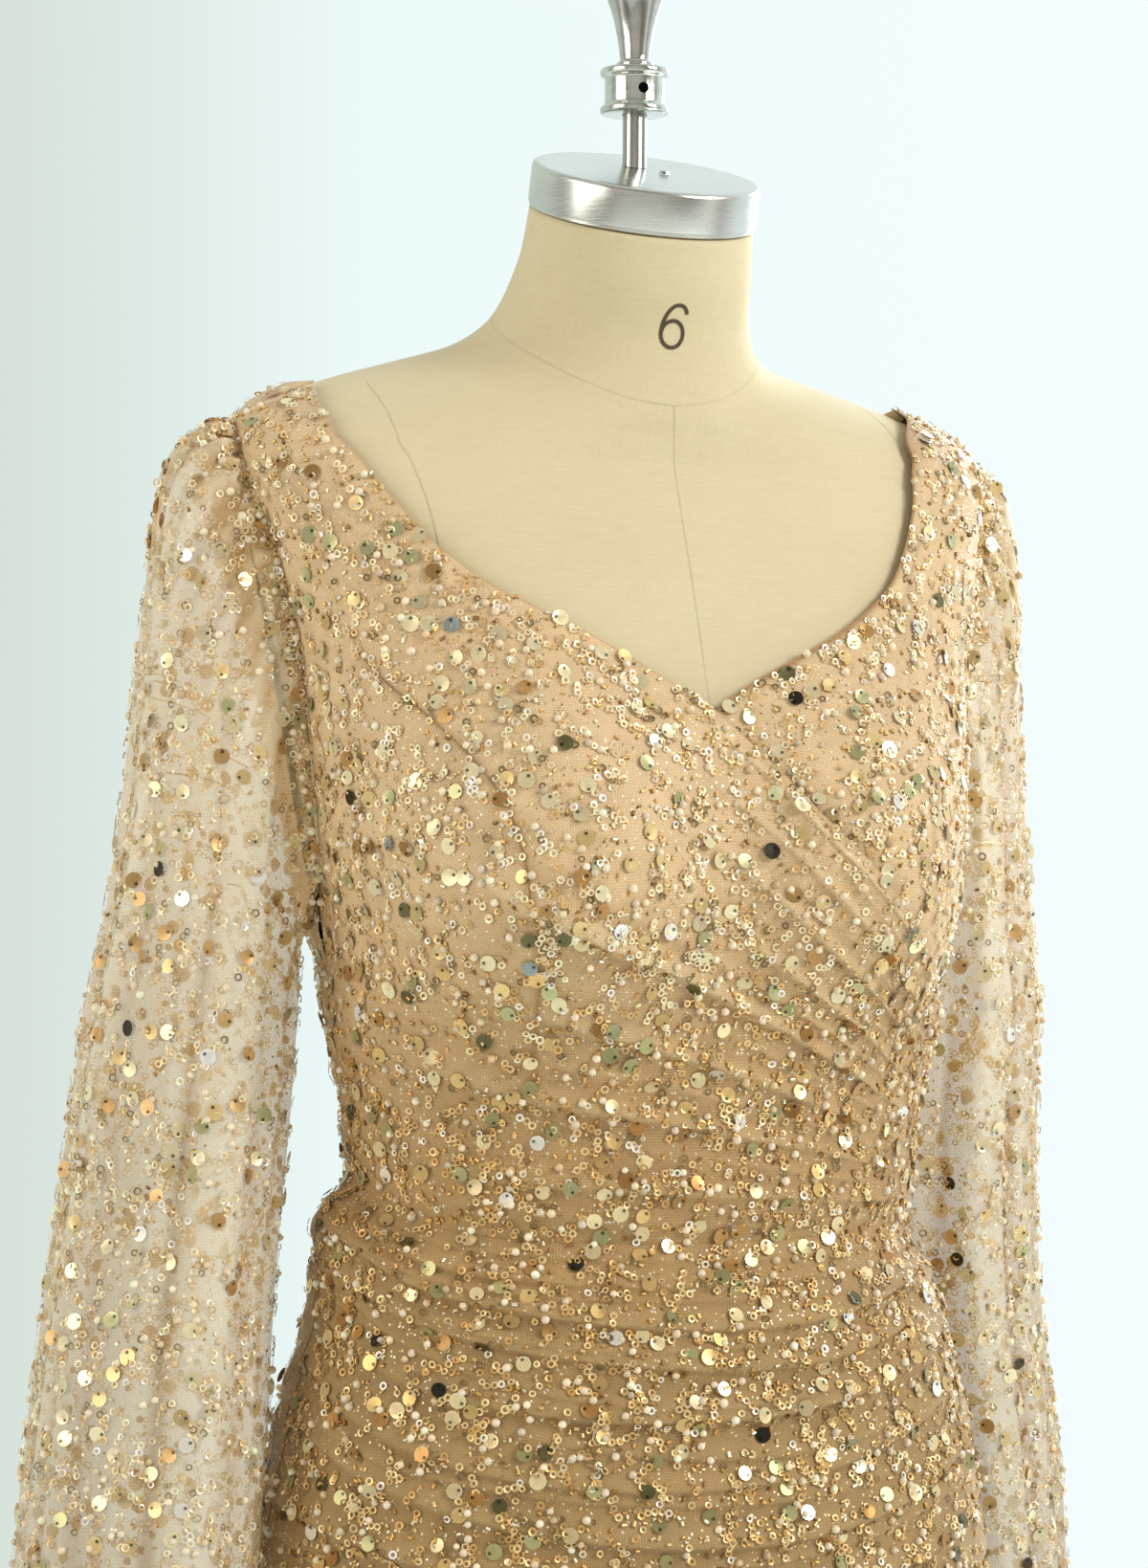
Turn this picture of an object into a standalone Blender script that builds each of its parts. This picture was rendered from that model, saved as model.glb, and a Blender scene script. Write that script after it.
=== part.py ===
"""A long-sleeved sequin wedding dress worn by a limbless dress form on a stand.

Metres, +Z up, front towards -Y, the wearer's left towards +X. The origin is the
middle of the underside of the stand's base. Heights marked 'height' are measured
from the waist, angles go round the body from the centre front (0) to the wearer's
left side (90) and the centre back (180).

The form is one smooth loft. Every cloth piece is a panel of the garment's pattern:
a grid on the form's own surface (or on the skirt's and sleeves' own sections),
moved out by its ease and folds, and given the thickness of beaded cloth.
"""
import math

import bmesh
import bpy
import numpy as np
from mathutils import Matrix, Vector

# ---- driving sizes -------------------------------------------------------------
WAIST_Z = 1.070            # floor to waist
SEAM_GAP = 0.0003          # between pieces that are sewn or stand face to face
WAIST_GAP = 0.0005         # bodice and skirt each stop this short of the waist seam
CLOTH = 0.0016             # beaded tulle on its backing
FORM_GAP = 0.0034          # form to the first layer of cloth
LAYER_GAP = 0.0025         # between the two crossed fronts
HEM_HEIGHT = -1.048        # skirt hem, from the waist
WAIST_DIP = 0.007          # the waist seam is this much lower at the centre front
WAIST_CLIMB = 0.022        # and this much higher at the wearer's right side seam

# The form, section by section. Squareness is the superellipse's exponent, and
# tilt lifts a section's back edge by so much for each metre of depth.
FORM_COLUMNS = ("height", "centre_y", "half_width", "front", "back", "tilt", "squareness")
FORM = (
    (-0.340, 0.008, 0.164, 0.106, 0.110, 0.00, 2.20),
    (-0.280, 0.008, 0.170, 0.110, 0.116, 0.00, 2.20),
    (-0.200, 0.008, 0.174, 0.116, 0.123, 0.00, 2.20),
    (-0.100, 0.004, 0.160, 0.109, 0.110, 0.00, 2.20),
    (0.000, 0.000, 0.132, 0.092, 0.086, 0.00, 2.10),
    (0.045, 0.001, 0.134, 0.093, 0.088, 0.00, 2.10),
    (0.090, 0.003, 0.141, 0.097, 0.094, 0.00, 2.15),
    (0.140, 0.006, 0.148, 0.100, 0.100, 0.00, 2.25),
    (0.180, 0.009, 0.154, 0.100, 0.103, 0.00, 2.40),
    (0.220, 0.013, 0.159, 0.100, 0.102, 0.00, 2.60),
    (0.260, 0.018, 0.164, 0.098, 0.098, 0.02, 2.80),
    (0.300, 0.023, 0.173, 0.093, 0.091, 0.06, 2.90),
    (0.330, 0.027, 0.181, 0.087, 0.082, 0.12, 2.80),
    (0.350, 0.030, 0.186, 0.083, 0.074, 0.17, 2.60),
    (0.363, 0.031, 0.184, 0.080, 0.068, 0.21, 2.40),
    (0.372, 0.030, 0.169, 0.079, 0.063, 0.25, 2.30),
    (0.380, 0.029, 0.146, 0.078, 0.059, 0.29, 2.20),
    (0.388, 0.026, 0.115, 0.076, 0.056, 0.33, 2.10),
    (0.396, 0.023, 0.086, 0.073, 0.054, 0.36, 2.00),
    (0.405, 0.019, 0.071, 0.068, 0.053, 0.38, 2.00),
    (0.416, 0.014, 0.063, 0.062, 0.052, 0.38, 2.00),
    (0.432, 0.007, 0.058, 0.057, 0.052, 0.36, 2.00),
    (0.452, -0.003, 0.055, 0.054, 0.053, 0.34, 2.00),
    (0.475, -0.009, 0.053, 0.053, 0.053, 0.33, 2.00),
)
FORM_SEGMENTS = 40
# Two smooth swells of the form's front, as every dress form has.
BUST = {"out": 0.044, "aside": 0.085, "height": 0.162, "wide": 0.068, "up": 0.092, "down": 0.066}

# The skirt below the form: it clears the hips and opens to the floor.
SKIRT_COLUMNS = ("height", "centre_y", "half_width", "front", "back", "squareness")
SKIRT = (
    (0.030, 0.001, 0.1372, 0.0962, 0.0908, 2.10),
    (0.000, 0.000, 0.1354, 0.0954, 0.0894, 2.10),
    (-0.009, 0.000, 0.1364, 0.0970, 0.0910, 2.10),
    (-0.030, 0.001, 0.1470, 0.1050, 0.0995, 2.12),
    (-0.060, 0.002, 0.1565, 0.1120, 0.1080, 2.15),
    (-0.100, 0.004, 0.1665, 0.1170, 0.1170, 2.20),
    (-0.150, 0.006, 0.1752, 0.1220, 0.1240, 2.20),
    (-0.200, 0.008, 0.1790, 0.1250, 0.1290, 2.20),
    (-0.280, 0.008, 0.1800, 0.1250, 0.1290, 2.20),
    (-0.400, 0.008, 0.1840, 0.1350, 0.1390, 2.15),
    (-0.550, 0.008, 0.2020, 0.1630, 0.1700, 2.10),
    (-0.750, 0.008, 0.2460, 0.2160, 0.2280, 2.05),
    (-0.920, 0.008, 0.2960, 0.2720, 0.2860, 2.02),
    (-1.048, 0.008, 0.3380, 0.3170, 0.3330, 2.00),
)
# Flutes of the skirt below the hip: how many go round, depth at the hem, turn.
FLUTES = ((5, 0.016, 20.0), (8, 0.012, 75.0))
FLUTES_START = -0.42
# Where the skirt's gathers bunch up below the waist at the wearer's right side.
BUNCH = {"height": 0.000, "spread": 0.030, "out": 0.016}

# ---- pattern lines of the bodice -------------------------------------------------
# The neckline of a crossed front, from the shoulder (along 0) past the crossing
# at the centre front to the far side seam (along 1).
FRONT_EDGE_COLUMNS = ("along", "angle", "height")
FRONT_EDGE = (
    (0.00, -90.0, 0.3790),
    (0.06, -70.0, 0.3745),
    (0.12, -56.0, 0.3670),
    (0.18, -47.0, 0.3530),
    (0.24, -42.0, 0.3340),
    (0.30, -37.5, 0.3120),
    (0.36, -31.0, 0.2920),
    (0.42, -22.0, 0.2750),
    (0.50, -3.0, 0.2390),
    (0.57, 8.5, 0.2110),
    (0.65, 20.0, 0.1770),
    (0.76, 42.0, 0.1260),
    (0.88, 66.0, 0.0940),
    (1.00, 90.0, 0.0750),
)
UNDER_EDGE = (
    (0.00, -90.0, 0.3790),
    (0.06, -67.0, 0.3782),
    (0.12, -52.0, 0.3750),
    (0.18, -44.0, 0.3680),
    (0.24, -39.5, 0.3540),
    (0.30, -37.0, 0.3300),
    (0.36, -33.5, 0.3040),
    (0.42, -26.0, 0.2800),
    *FRONT_EDGE[8:],
)
FRONT_EDGES = {-1: FRONT_EDGE, 1: UNDER_EDGE}
BACK_EDGE = (
    (0.00, 90.0, 0.3790),
    (0.18, 113.0, 0.3730),
    (0.40, 134.0, 0.3590),
    (0.70, 158.0, 0.3300),
    (1.00, 180.0, 0.3020),
)
# Side seam, armhole and shoulder seam in one line, from the waist up. The pieces on
# both sides of it, and the sleeve, share its corners.
SIDE_COLUMNS = ("along", "forward", "height")
SIDE = (
    (0.00, 0.0, 0.0000),
    (0.12, 0.0, 0.0500),
    (0.24, 0.0, 0.1000),
    (0.34, 0.0, 0.1440),
    (0.40, 5.0, 0.1600),
    (0.48, 8.0, 0.1950),
    (0.56, 11.5, 0.2350),
    (0.64, 15.0, 0.2700),
    (0.72, 16.5, 0.3020),
    (0.80, 15.5, 0.3280),
    (0.88, 9.5, 0.3470),
    (0.94, 0.0, 0.3560),
    (0.97, 0.0, 0.3645),
    (1.00, 0.0, 0.3790),
)
ARMHOLE_GAP = 0.0032       # room for the sleeve's own wall inside the armhole
ARMHOLE_LOW = 3            # rows of SIDE at the underarm and at the shoulder
ARMHOLE_TOP = 11
# Pleats of the crossed fronts: place up the panel, height, half-width, and the
# part of the way across where each starts. They gather at the far side seam.
PLEAT_COLUMNS = ("place", "rise", "spread", "start")
PLEATS = (
    (0.09, 0.0026, 0.030, 0.05),
    (0.215, 0.0036, 0.034, 0.00),
    (0.335, 0.0032, 0.030, 0.14),
    (0.465, 0.0044, 0.036, 0.08),
    (0.590, 0.0036, 0.032, 0.34),
    (0.715, 0.0046, 0.036, 0.38),
    (0.845, 0.0040, 0.034, 0.42),
)
PLEAT_ROOM = 0.24          # a pleat is full where the panel is this tall, flatter below
# Crescent folds of the skirt front: depth below the waist, rise, half-width, and
# how much of the rise is left at the right side seam and at the left.
DRAPE_COLUMNS = ("depth", "rise", "spread", "at_right", "at_left")
DRAPES = (
    (0.018, 0.0040, 0.0060, 0.9, 0.6),
    (0.036, 0.0065, 0.0090, 1.0, 0.8),
    (0.058, 0.0050, 0.0075, 0.8, 1.0),
    (0.082, 0.0075, 0.0100, 0.5, 1.0),
    (0.109, 0.0060, 0.0090, 0.9, 0.9),
    (0.134, 0.0080, 0.0105, 0.6, 1.1),
    (0.163, 0.0065, 0.0100, 1.0, 1.0),
    (0.192, 0.0080, 0.0120, 0.7, 1.1),
    (0.226, 0.0060, 0.0120, 0.9, 1.0),
    (0.262, 0.0070, 0.0140, 0.7, 1.0),
    (0.304, 0.0045, 0.0150, 0.8, 0.9),
)
WAIST_ROW = 0.009          # the skirt stands straight this far below the waist seam
DRAPE_END = 0.36           # below this depth the skirt front hangs plain
DRAPE_LIFT_LEFT = 0.042    # the folds climb this much to the wearer's left seam
DRAPE_LIFT_RIGHT = 0.026

# ---- sleeves ----------------------------------------------------------------------
SLEEVE_COLUMNS = ("height", "out", "centre_y", "half_width", "half_depth")
SLEEVE_RIGHT = (
    (0.100, 0.2025, 0.044, 0.0470, 0.0590),
    (0.050, 0.2075, 0.044, 0.0485, 0.0605),
    (0.000, 0.2135, 0.043, 0.0495, 0.0620),
    (-0.050, 0.2200, 0.038, 0.0508, 0.0635),
    (-0.100, 0.2265, 0.030, 0.0528, 0.0645),
    (-0.150, 0.2340, 0.018, 0.0530, 0.0650),
    (-0.228, 0.2400, 0.006, 0.0520, 0.0640),
)
SLEEVE_LEFT = (
    (0.100, 0.1950, 0.055, 0.0420, 0.0550),
    (0.050, 0.1932, 0.063, 0.0463, 0.0585),
    (0.000, 0.1950, 0.073, 0.0500, 0.0610),
    (-0.050, 0.2000, 0.080, 0.0510, 0.0620),
    (-0.100, 0.2090, 0.087, 0.0520, 0.0630),
    (-0.150, 0.2180, 0.093, 0.0525, 0.0640),
    (-0.228, 0.2260, 0.099, 0.0520, 0.0640),
)
SLEEVE_HEAD_ROWS = 7
SLEEVE_ROWS = 9
# How far a sleeve's head reaches out before it falls, at the shoulder and underarm,
# and how far its hanging part still swings outward.
HEAD_SPREAD = {-1: 0.85, 1: 0.45}
UNDERARM_SPREAD = 0.35
HEAD_SWING = 0.23
# Long soft folds of a sleeve: angle round it, depth, half-width in degrees.
SLEEVE_FOLDS = ((22.0, 0.0050, 20.0), (88.0, 0.0065, 20.0), (135.0, 0.0035, 20.0),
                (230.0, 0.0045, 22.0), (275.0, 0.0055, 20.0), (338.0, 0.0040, 18.0))

# ---- hardware of the form and its stand ---------------------------------------------
CAP_RADIUS = 0.0545
CAP_DEPTH = 0.0215
ROD_RADIUS = 0.0057
COLLAR_LOW = 0.5225        # heights from the waist
COLLAR_HIGH = 0.5445
FINIAL_TOP = 0.6040
POLE_RADIUS = 0.0125
BASE_RADIUS = 0.190
# Turned profiles: radius, height; each runs from its top down the outside.
BASE_PROFILE = ((0.0, 0.046), (0.020, 0.046), (0.023, 0.043), (0.024, 0.030), (0.034, 0.0235),
                (0.070, 0.0190), (0.130, 0.0150), (0.176, 0.0120), (0.187, 0.0095),
                (BASE_RADIUS, 0.0060), (BASE_RADIUS, 0.0015), (0.1885, 0.0), (0.0, 0.0))
COLLAR_PROFILE = ((0.0061, 0.0220), (0.0155, 0.0220), (0.0165, 0.0210), (0.0165, 0.0190),
                  (0.0155, 0.0180), (0.0143, 0.0170), (0.0143, 0.0050), (0.0155, 0.0040),
                  (0.0165, 0.0030), (0.0165, 0.0010), (0.0155, 0.0), (0.0061, 0.0))
FINIAL_PROFILE = ((0.0, 0.0590), (0.0060, 0.0582), (0.0115, 0.0555), (0.0150, 0.0510),
                  (0.0163, 0.0455), (0.0158, 0.0400), (0.0133, 0.0325), (0.0104, 0.0235),
                  (0.0084, 0.0140), (0.0073, 0.0060), (0.0070, 0.0030), (0.0088, 0.0022),
                  (0.0088, 0.0), (0.0, 0.0))
SET_SCREW_RADIUS = 0.0024

# ---- zip at the centre back ------------------------------------------------------------
ZIP_HEIGHT = 0.2900
SLIDER = {"half_width": 0.0026, "half_length": 0.0052, "low": 0.0003, "high": 0.0025}
BRIDGE = {"half_width": 0.0009, "inside_low": 0.0, "inside_high": 0.0030, "post": 0.0012,
          "hole_top": 0.0051, "top": 0.0061}
PULL = {"half_width": 0.0026, "rail": 0.0011, "bar": 0.0006, "hole_end": 0.0044,
        "length": 0.0210, "foot_half_width": 0.0034, "thickness": 0.0012}

# ---- how finely the cloth is divided ----------------------------------------------------
FRONT_COLUMNS = 21
BACK_COLUMNS = 11
PLEATED_ROWS = 27
EDGE_REACH = 5             # the higher, the sooner an upright edge's bends die out

PARTS = "sequin_wedding_dress"
CUTTERS = "cutters"


# ---- scene helpers -----------------------------------------------------------------
def clear_scene():
    for item in list(bpy.data.objects):
        bpy.data.objects.remove(item, do_unlink=True)


def collection(name):
    if name not in bpy.data.collections:
        bpy.context.scene.collection.children.link(bpy.data.collections.new(name))
    return bpy.data.collections[name]


def material(name, colour, roughness, metallic=0.0):
    made = bpy.data.materials.new(name)
    made.use_nodes = True
    shader = made.node_tree.nodes["Principled BSDF"]
    shader.inputs["Base Color"].default_value = (*colour, 1.0)
    shader.inputs["Roughness"].default_value = roughness
    shader.inputs["Metallic"].default_value = metallic
    made.diffuse_color = (*colour, 1.0)
    return made


def add_mesh(name, bm, finish, smooth_angle=40.0):
    """Makes a named object of a bmesh, shaded smooth where it is round."""
    mesh = bpy.data.meshes.new(name)
    bm.to_mesh(mesh)
    bm.free()
    mesh.shade_smooth()
    mesh.set_sharp_from_angle(angle=math.radians(smooth_angle))
    made = bpy.data.objects.new(name, mesh)
    made.data.materials.append(finish)
    collection(PARTS).objects.link(made)
    return made


# ---- sections and surfaces -------------------------------------------------------------
def read_table(table, at):
    """Reads a table's columns at `at`, its first column, along curves that never overshoot."""
    rows = np.array(sorted(table), dtype=float)
    keys, values = rows[:, 0], rows[:, 1:]
    steps = np.diff(values, axis=0) / np.diff(keys)[:, None]
    before, after = steps[:-1], steps[1:]
    turning = before * after <= 0
    middle = np.where(turning, 0.0, 2 * before * after / np.where(turning, 1.0, before + after))
    slopes = np.vstack([steps[:1], middle, steps[-1:]])
    at = np.asarray(at, dtype=float)
    low = np.clip(np.searchsorted(keys, at, side="right") - 1, 0, len(keys) - 2)
    span = keys[low + 1] - keys[low]
    t = np.clip((at - keys[low]) / span, 0.0, 1.0)[..., None]
    span = span[..., None]
    return ((2 * t**3 - 3 * t**2 + 1) * values[low]
            + (t**3 - 2 * t**2 + t) * span * slopes[low]
            + (3 * t**2 - 2 * t**3) * values[low + 1]
            + (t**3 - t**2) * span * slopes[low + 1])


def section(angle, half_width, front, back, squareness):
    """A body section: x to the wearer's left, y to the back, round its centre."""
    across, along = np.sin(angle), np.cos(angle)
    reach = (np.abs(across)**squareness + np.abs(along)**squareness) ** (1 / squareness)
    depth = np.where(along > 0, front, back)
    return half_width * across / reach, -depth * along / reach


def form_point(degrees, height):
    """Points on the dress form's surface."""
    angle, height = np.broadcast_arrays(np.radians(degrees), np.asarray(height, float))
    row = read_table(FORM, height)
    centre_y, half_width, front, back, tilt, squareness = np.moveaxis(row, -1, 0)
    x, y = section(angle, half_width, front, back, squareness)
    y = y + centre_y
    facing = np.clip(np.cos(angle) / 0.4, 0.0, 1.0)
    facing = facing**2 * (3 - 2 * facing)
    reach = np.where(height > BUST["height"], BUST["up"], BUST["down"])
    swell = (np.exp(-((x - BUST["aside"]) / BUST["wide"])**2)
             + np.exp(-((x + BUST["aside"]) / BUST["wide"])**2))
    y = y - BUST["out"] * facing * swell * np.exp(-((height - BUST["height"]) / reach)**2)
    return np.stack([x, y, WAIST_Z + height + tilt * y], axis=-1)


def eased(low, high, value):
    """0 below `low`, 1 above `high`, smooth between."""
    t = np.clip((value - low) / (high - low), 0.0, 1.0)
    return t * t * (3 - 2 * t)


def waist_line(degrees):
    """The waist seam: it dips at the centre front and climbs at the gathered right side."""
    turned = np.radians(degrees)
    dip = WAIST_DIP * np.maximum(np.cos(turned), 0.0) ** 2
    return WAIST_CLIMB * np.maximum(-np.sin(turned), 0.0) ** 12 - dip


def skirt_point(degrees, height):
    """Points on the skirt's surface, with its flutes below the hip."""
    angle, height = np.broadcast_arrays(np.radians(degrees), np.asarray(height, float))
    row = read_table(SKIRT, height)
    centre_y, half_width, front, back, squareness = np.moveaxis(row, -1, 0)
    x, y = section(angle, half_width, front, back, squareness)
    fall = np.clip((FLUTES_START - height) / (FLUTES_START - HEM_HEIGHT), 0.0, 1.0)
    flute = sum(depth * np.cos(count * angle + math.radians(turn)) for count, depth, turn in FLUTES)
    depth = waist_line(degrees) - height
    bunch = np.exp(-((height - BUNCH["height"]) / BUNCH["spread"]) ** 2) * eased(0.0, 0.02, depth)
    bunch = BUNCH["out"] * bunch * np.maximum(-np.sin(angle), 0.0) ** 4
    grow = 1.0 + (fall**1.5 * flute + bunch) / np.hypot(x, y)
    return np.stack([x * grow, centre_y + y * grow, WAIST_Z + height], axis=-1)


def moved_out(surface, degrees, height, distance):
    """Points of a surface moved out along its normal."""
    step_angle, step_height = 0.5, 0.001
    around = surface(degrees + step_angle, height) - surface(degrees - step_angle, height)
    upward = surface(degrees, height + step_height) - surface(degrees, height - step_height)
    normal = np.cross(around, upward)
    normal /= np.linalg.norm(normal, axis=-1, keepdims=True)
    return surface(degrees, height) + normal * np.asarray(distance)[..., None]


# ---- cloth -------------------------------------------------------------------------------
def cloth(name, grid, finish, tube=False):
    """A panel of cloth: its inner face on the grid's points, its thickness outward.

    The grid's rows run upwards and its columns towards the wearer's left, or, in a
    tube, anticlockwise seen from above.
    """
    bm = bmesh.new()
    rows = [[bm.verts.new(point) for point in row] for row in grid]
    columns = len(rows[0])
    for low, high in zip(rows, rows[1:]):
        for i in range(columns if tube else columns - 1):
            j = (i + 1) % columns
            bm.faces.new((low[i], low[j], high[j], high[i]))
    made = add_mesh(name, bm, finish)
    wall = made.modifiers.new("cloth", "SOLIDIFY")
    wall.thickness = CLOTH
    wall.offset = 1.0
    wall.use_even_offset = False
    return made


def side_line(v):
    """The side seam, armhole and shoulder as straight runs between SIDE's rows."""
    along, forward, height = np.array(SIDE).T
    return np.interp(v, along, forward), np.interp(v, along, height)


def front_grid(side, v):
    """Angles and heights of a crossed front that starts at `side` (-1 wearer's right)."""
    u = np.linspace(0.0, 1.0, FRONT_COLUMNS)
    foot_angles = -90.0 + 180.0 * u
    foot = np.stack([foot_angles, waist_line(-side * foot_angles) + WAIST_GAP], axis=-1)
    top = read_table(FRONT_EDGES[side], u)
    forward, side_height = side_line(v)
    start = np.stack([-90.0 + forward, side_height], axis=-1)
    start[:, 1] += foot[0, 1] * (1.0 - eased(0.0, SIDE[ARMHOLE_LOW][0], v))
    end = np.stack([np.full(len(v), 90.0), foot[-1, 1] + (top[-1, 1] - foot[-1, 1]) * v], axis=-1)
    grid = coons(foot, top, start, end, v)
    return -side * grid[..., 0], grid[..., 1], u


def back_grid(side, v):
    """Angles and heights of a back half, from its side seam to the centre back."""
    u = np.linspace(0.0, 1.0, BACK_COLUMNS)
    foot_angles = 90.0 + 90.0 * u
    foot = np.stack([foot_angles, waist_line(side * foot_angles) + WAIST_GAP], axis=-1)
    top = read_table(BACK_EDGE, u)
    forward, side_height = side_line(v)
    start = np.stack([90.0 + forward, side_height], axis=-1)
    start[:, 1] += foot[0, 1] * (1.0 - eased(0.0, SIDE[ARMHOLE_LOW][0], v))
    end = np.stack([np.full(len(v), 180.0), foot[-1, 1] + (top[-1, 1] - foot[-1, 1]) * v], axis=-1)
    grid = coons(foot, top, start, end, v)
    return side * grid[..., 0], grid[..., 1]


def coons(foot, top, start, end, v):
    """Fills a four-sided outline: foot and top run along, start and end run up.

    The bends of the two upright edges die out quickly inside the panel.
    """
    u = np.linspace(0.0, 1.0, len(foot))[None, :, None]
    v = np.asarray(v)[:, None, None]
    ruled = (1 - v) * foot[None] + v * top[None]
    start_bend = start[:, None] - ruled[:, :1]
    end_bend = end[:, None] - ruled[:, -1:]
    return ruled + (1 - u) ** EDGE_REACH * start_bend + u ** EDGE_REACH * end_bend


def turn_for(surface, degrees, height, distance):
    """The angle that moves a surface's point sideways by a distance."""
    step = surface(degrees + 0.5, height) - surface(degrees - 0.5, height)
    return distance / np.linalg.norm(step, axis=-1)


def pull_in(surface, degrees, height, edges):
    """A seam's gap, as an angle, taken off a panel's two upright edges."""
    slack = turn_for(surface, degrees, height, SEAM_GAP)
    first, last = edges
    moved = degrees.copy()
    moved[:, 0] += first * slack[:, 0]
    moved[:, -1] += last * slack[:, -1]
    return moved


def pleat_rise(u, v, room):
    """How far the pleats lift a crossed front at each of its points."""
    u, v = u[None, :], v[:, None]
    rise = np.zeros((v.shape[0], u.shape[1]))
    for place, height, spread, start in PLEATS:
        along = eased(start, start + 0.4, u)
        rise = rise + height * along * np.exp(-((v - place) / spread) ** 2)
    return rise * np.minimum(room / PLEAT_ROOM, 1.0) ** 1.4


def above_under_front(degrees, height):
    """1 where only the form lies under the upper front, 0 where the under front does."""
    far_side = np.array(FRONT_EDGE[8:])
    edge = np.interp(np.maximum(-degrees, 0.0), far_side[:, 1], far_side[:, 2])
    return eased(0.006, 0.045, height - edge) * (degrees < 0.0)


def bodice_front(name, side, v, ease, finish, pleated):
    degrees, height, u = front_grid(side, v)
    degrees = pull_in(form_point, degrees, height, (-side, side))
    distance = np.full(degrees.shape, ease)
    if pleated:
        distance = distance + pleat_rise(u, v, room=(height[-1] - height[0])[None, :])
        alone = above_under_front(degrees, height)
        distance = distance - (CLOTH + LAYER_GAP) * alone
    grid = moved_out(form_point, degrees, height, distance)
    if side > 0:
        grid = grid[:, ::-1]
    return cloth(name, grid, finish)


def bodice_back(name, side, v, finish):
    degrees, height = back_grid(side, v)
    degrees = pull_in(form_point, degrees, height, (side, -side))
    grid = moved_out(form_point, degrees, height, np.full(degrees.shape, FORM_GAP))
    if side < 0:
        grid = grid[:, ::-1]
    return cloth(name, grid, finish)


def drape_depths():
    """Depths of the skirt front's rows: close on the folds, wide below them."""
    folds = []
    for depth, _rise, spread, _right, _left in DRAPES:
        folds += [depth, depth + 1.25 * spread]
    plain = np.linspace(DRAPE_END, -HEM_HEIGHT, 6)
    return np.array([0.0, WAIST_ROW, *folds[:-1], *plain])


def skirt_front(name, finish):
    degrees = np.linspace(-90.0, 90.0, FRONT_COLUMNS)[None, :]
    depth = drape_depths()[::-1, None]
    left = np.maximum(np.sin(np.radians(degrees)), 0.0)
    right = np.maximum(-np.sin(np.radians(degrees)), 0.0)
    swing = eased(0.0, 0.075, depth) * (1.0 - eased(0.20, DRAPE_END + 0.10, depth))
    lift = swing * (DRAPE_LIFT_LEFT * left**2.2 + DRAPE_LIFT_RIGHT * right**2.2)
    height = waist_line(degrees) * (1.0 - eased(0.0, 0.3, depth)) - depth + lift - WAIST_GAP
    rise = np.zeros((depth.shape[0], degrees.shape[1]))
    for place, amount, spread, at_right, at_left in DRAPES:
        strength = 1.0 + (at_left - 1.0) * left**2 + (at_right - 1.0) * right**2
        rise = rise + amount * strength * np.exp(-((depth - place) / spread) ** 2)
    degrees = pull_in(skirt_point, degrees + 0.0 * height, height, (1.0, -1.0))
    grid = moved_out(skirt_point, degrees, height, rise)
    return cloth(name, grid, finish)


def skirt_back(name, side, finish):
    depth = np.array([WAIST_GAP, WAIST_ROW, 0.03, 0.07, 0.13, 0.20, 0.30, 0.42, 0.60, 0.82, -HEM_HEIGHT])
    degrees = side * np.linspace(90.0, 180.0, BACK_COLUMNS)[None, :]
    depth = depth[::-1, None]
    height = waist_line(degrees) * (1.0 - eased(0.0, 0.3, depth)) - depth
    degrees = degrees + 0.0 * height
    degrees = pull_in(skirt_point, degrees, height, (side, -side))
    grid = moved_out(skirt_point, degrees, height, np.zeros(height.shape))
    if side < 0:
        grid = grid[:, ::-1]
    return cloth(name, grid, finish)


def armhole_loop(side, eases):
    """The armhole's seam line: from the shoulder down the front, and up the back.

    Eases are how far its front and back halves stand off the form.
    """
    rows = np.array(SIDE)[ARMHOLE_LOW:ARMHOLE_TOP + 1, 1:]
    down = rows[::-1]
    loop = np.vstack([down, rows[1:-1]])
    half = len(down) - 1
    facing = np.sin(np.arange(len(loop)) * math.pi / half)
    inset = turn_for(form_point, 90.0 - loop[:, 0], loop[:, 1], ARMHOLE_GAP)
    forward = np.sign(facing) * np.maximum(loop[:, 0] - inset, 0.0)
    forward[[0, half]] = 0.0
    height = loop[:, 1].copy()
    height[0] -= ARMHOLE_GAP
    height[half] += ARMHOLE_GAP
    front, back = eases
    ease = (front + back) / 2 + (front - back) / 2 * np.clip(facing * 2.0, -1.0, 1.0)
    lower = 0.5 - 0.5 * np.cos(np.arange(len(loop)) * math.pi / half)
    ease = np.where(lower > 0.8, max(eases), ease) + lower * (CLOTH + 3.0 * SEAM_GAP)
    return moved_out(form_point, side * (90.0 - forward), height, ease)


def sleeve_fold(turns):
    """Depth of a sleeve's long folds round its section."""
    depth = np.zeros(len(turns))
    for at, amount, spread in SLEEVE_FOLDS:
        away = (turns - at + 180.0) % 360.0 - 180.0
        depth = depth + amount * np.exp(-(away / spread) ** 2)
    return depth - depth.mean()


def sleeve_ring(side, row, turns, fold):
    """One level section of a hanging sleeve."""
    height, out, centre_y, half_width, half_depth = row
    turned = np.radians(turns)
    x = out + (half_width + fold) * np.cos(turned)
    y = centre_y - (half_depth + fold) * np.sin(turned)
    return np.stack([side * x, y, np.full(len(turns), WAIST_Z + height)], axis=-1)


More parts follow.
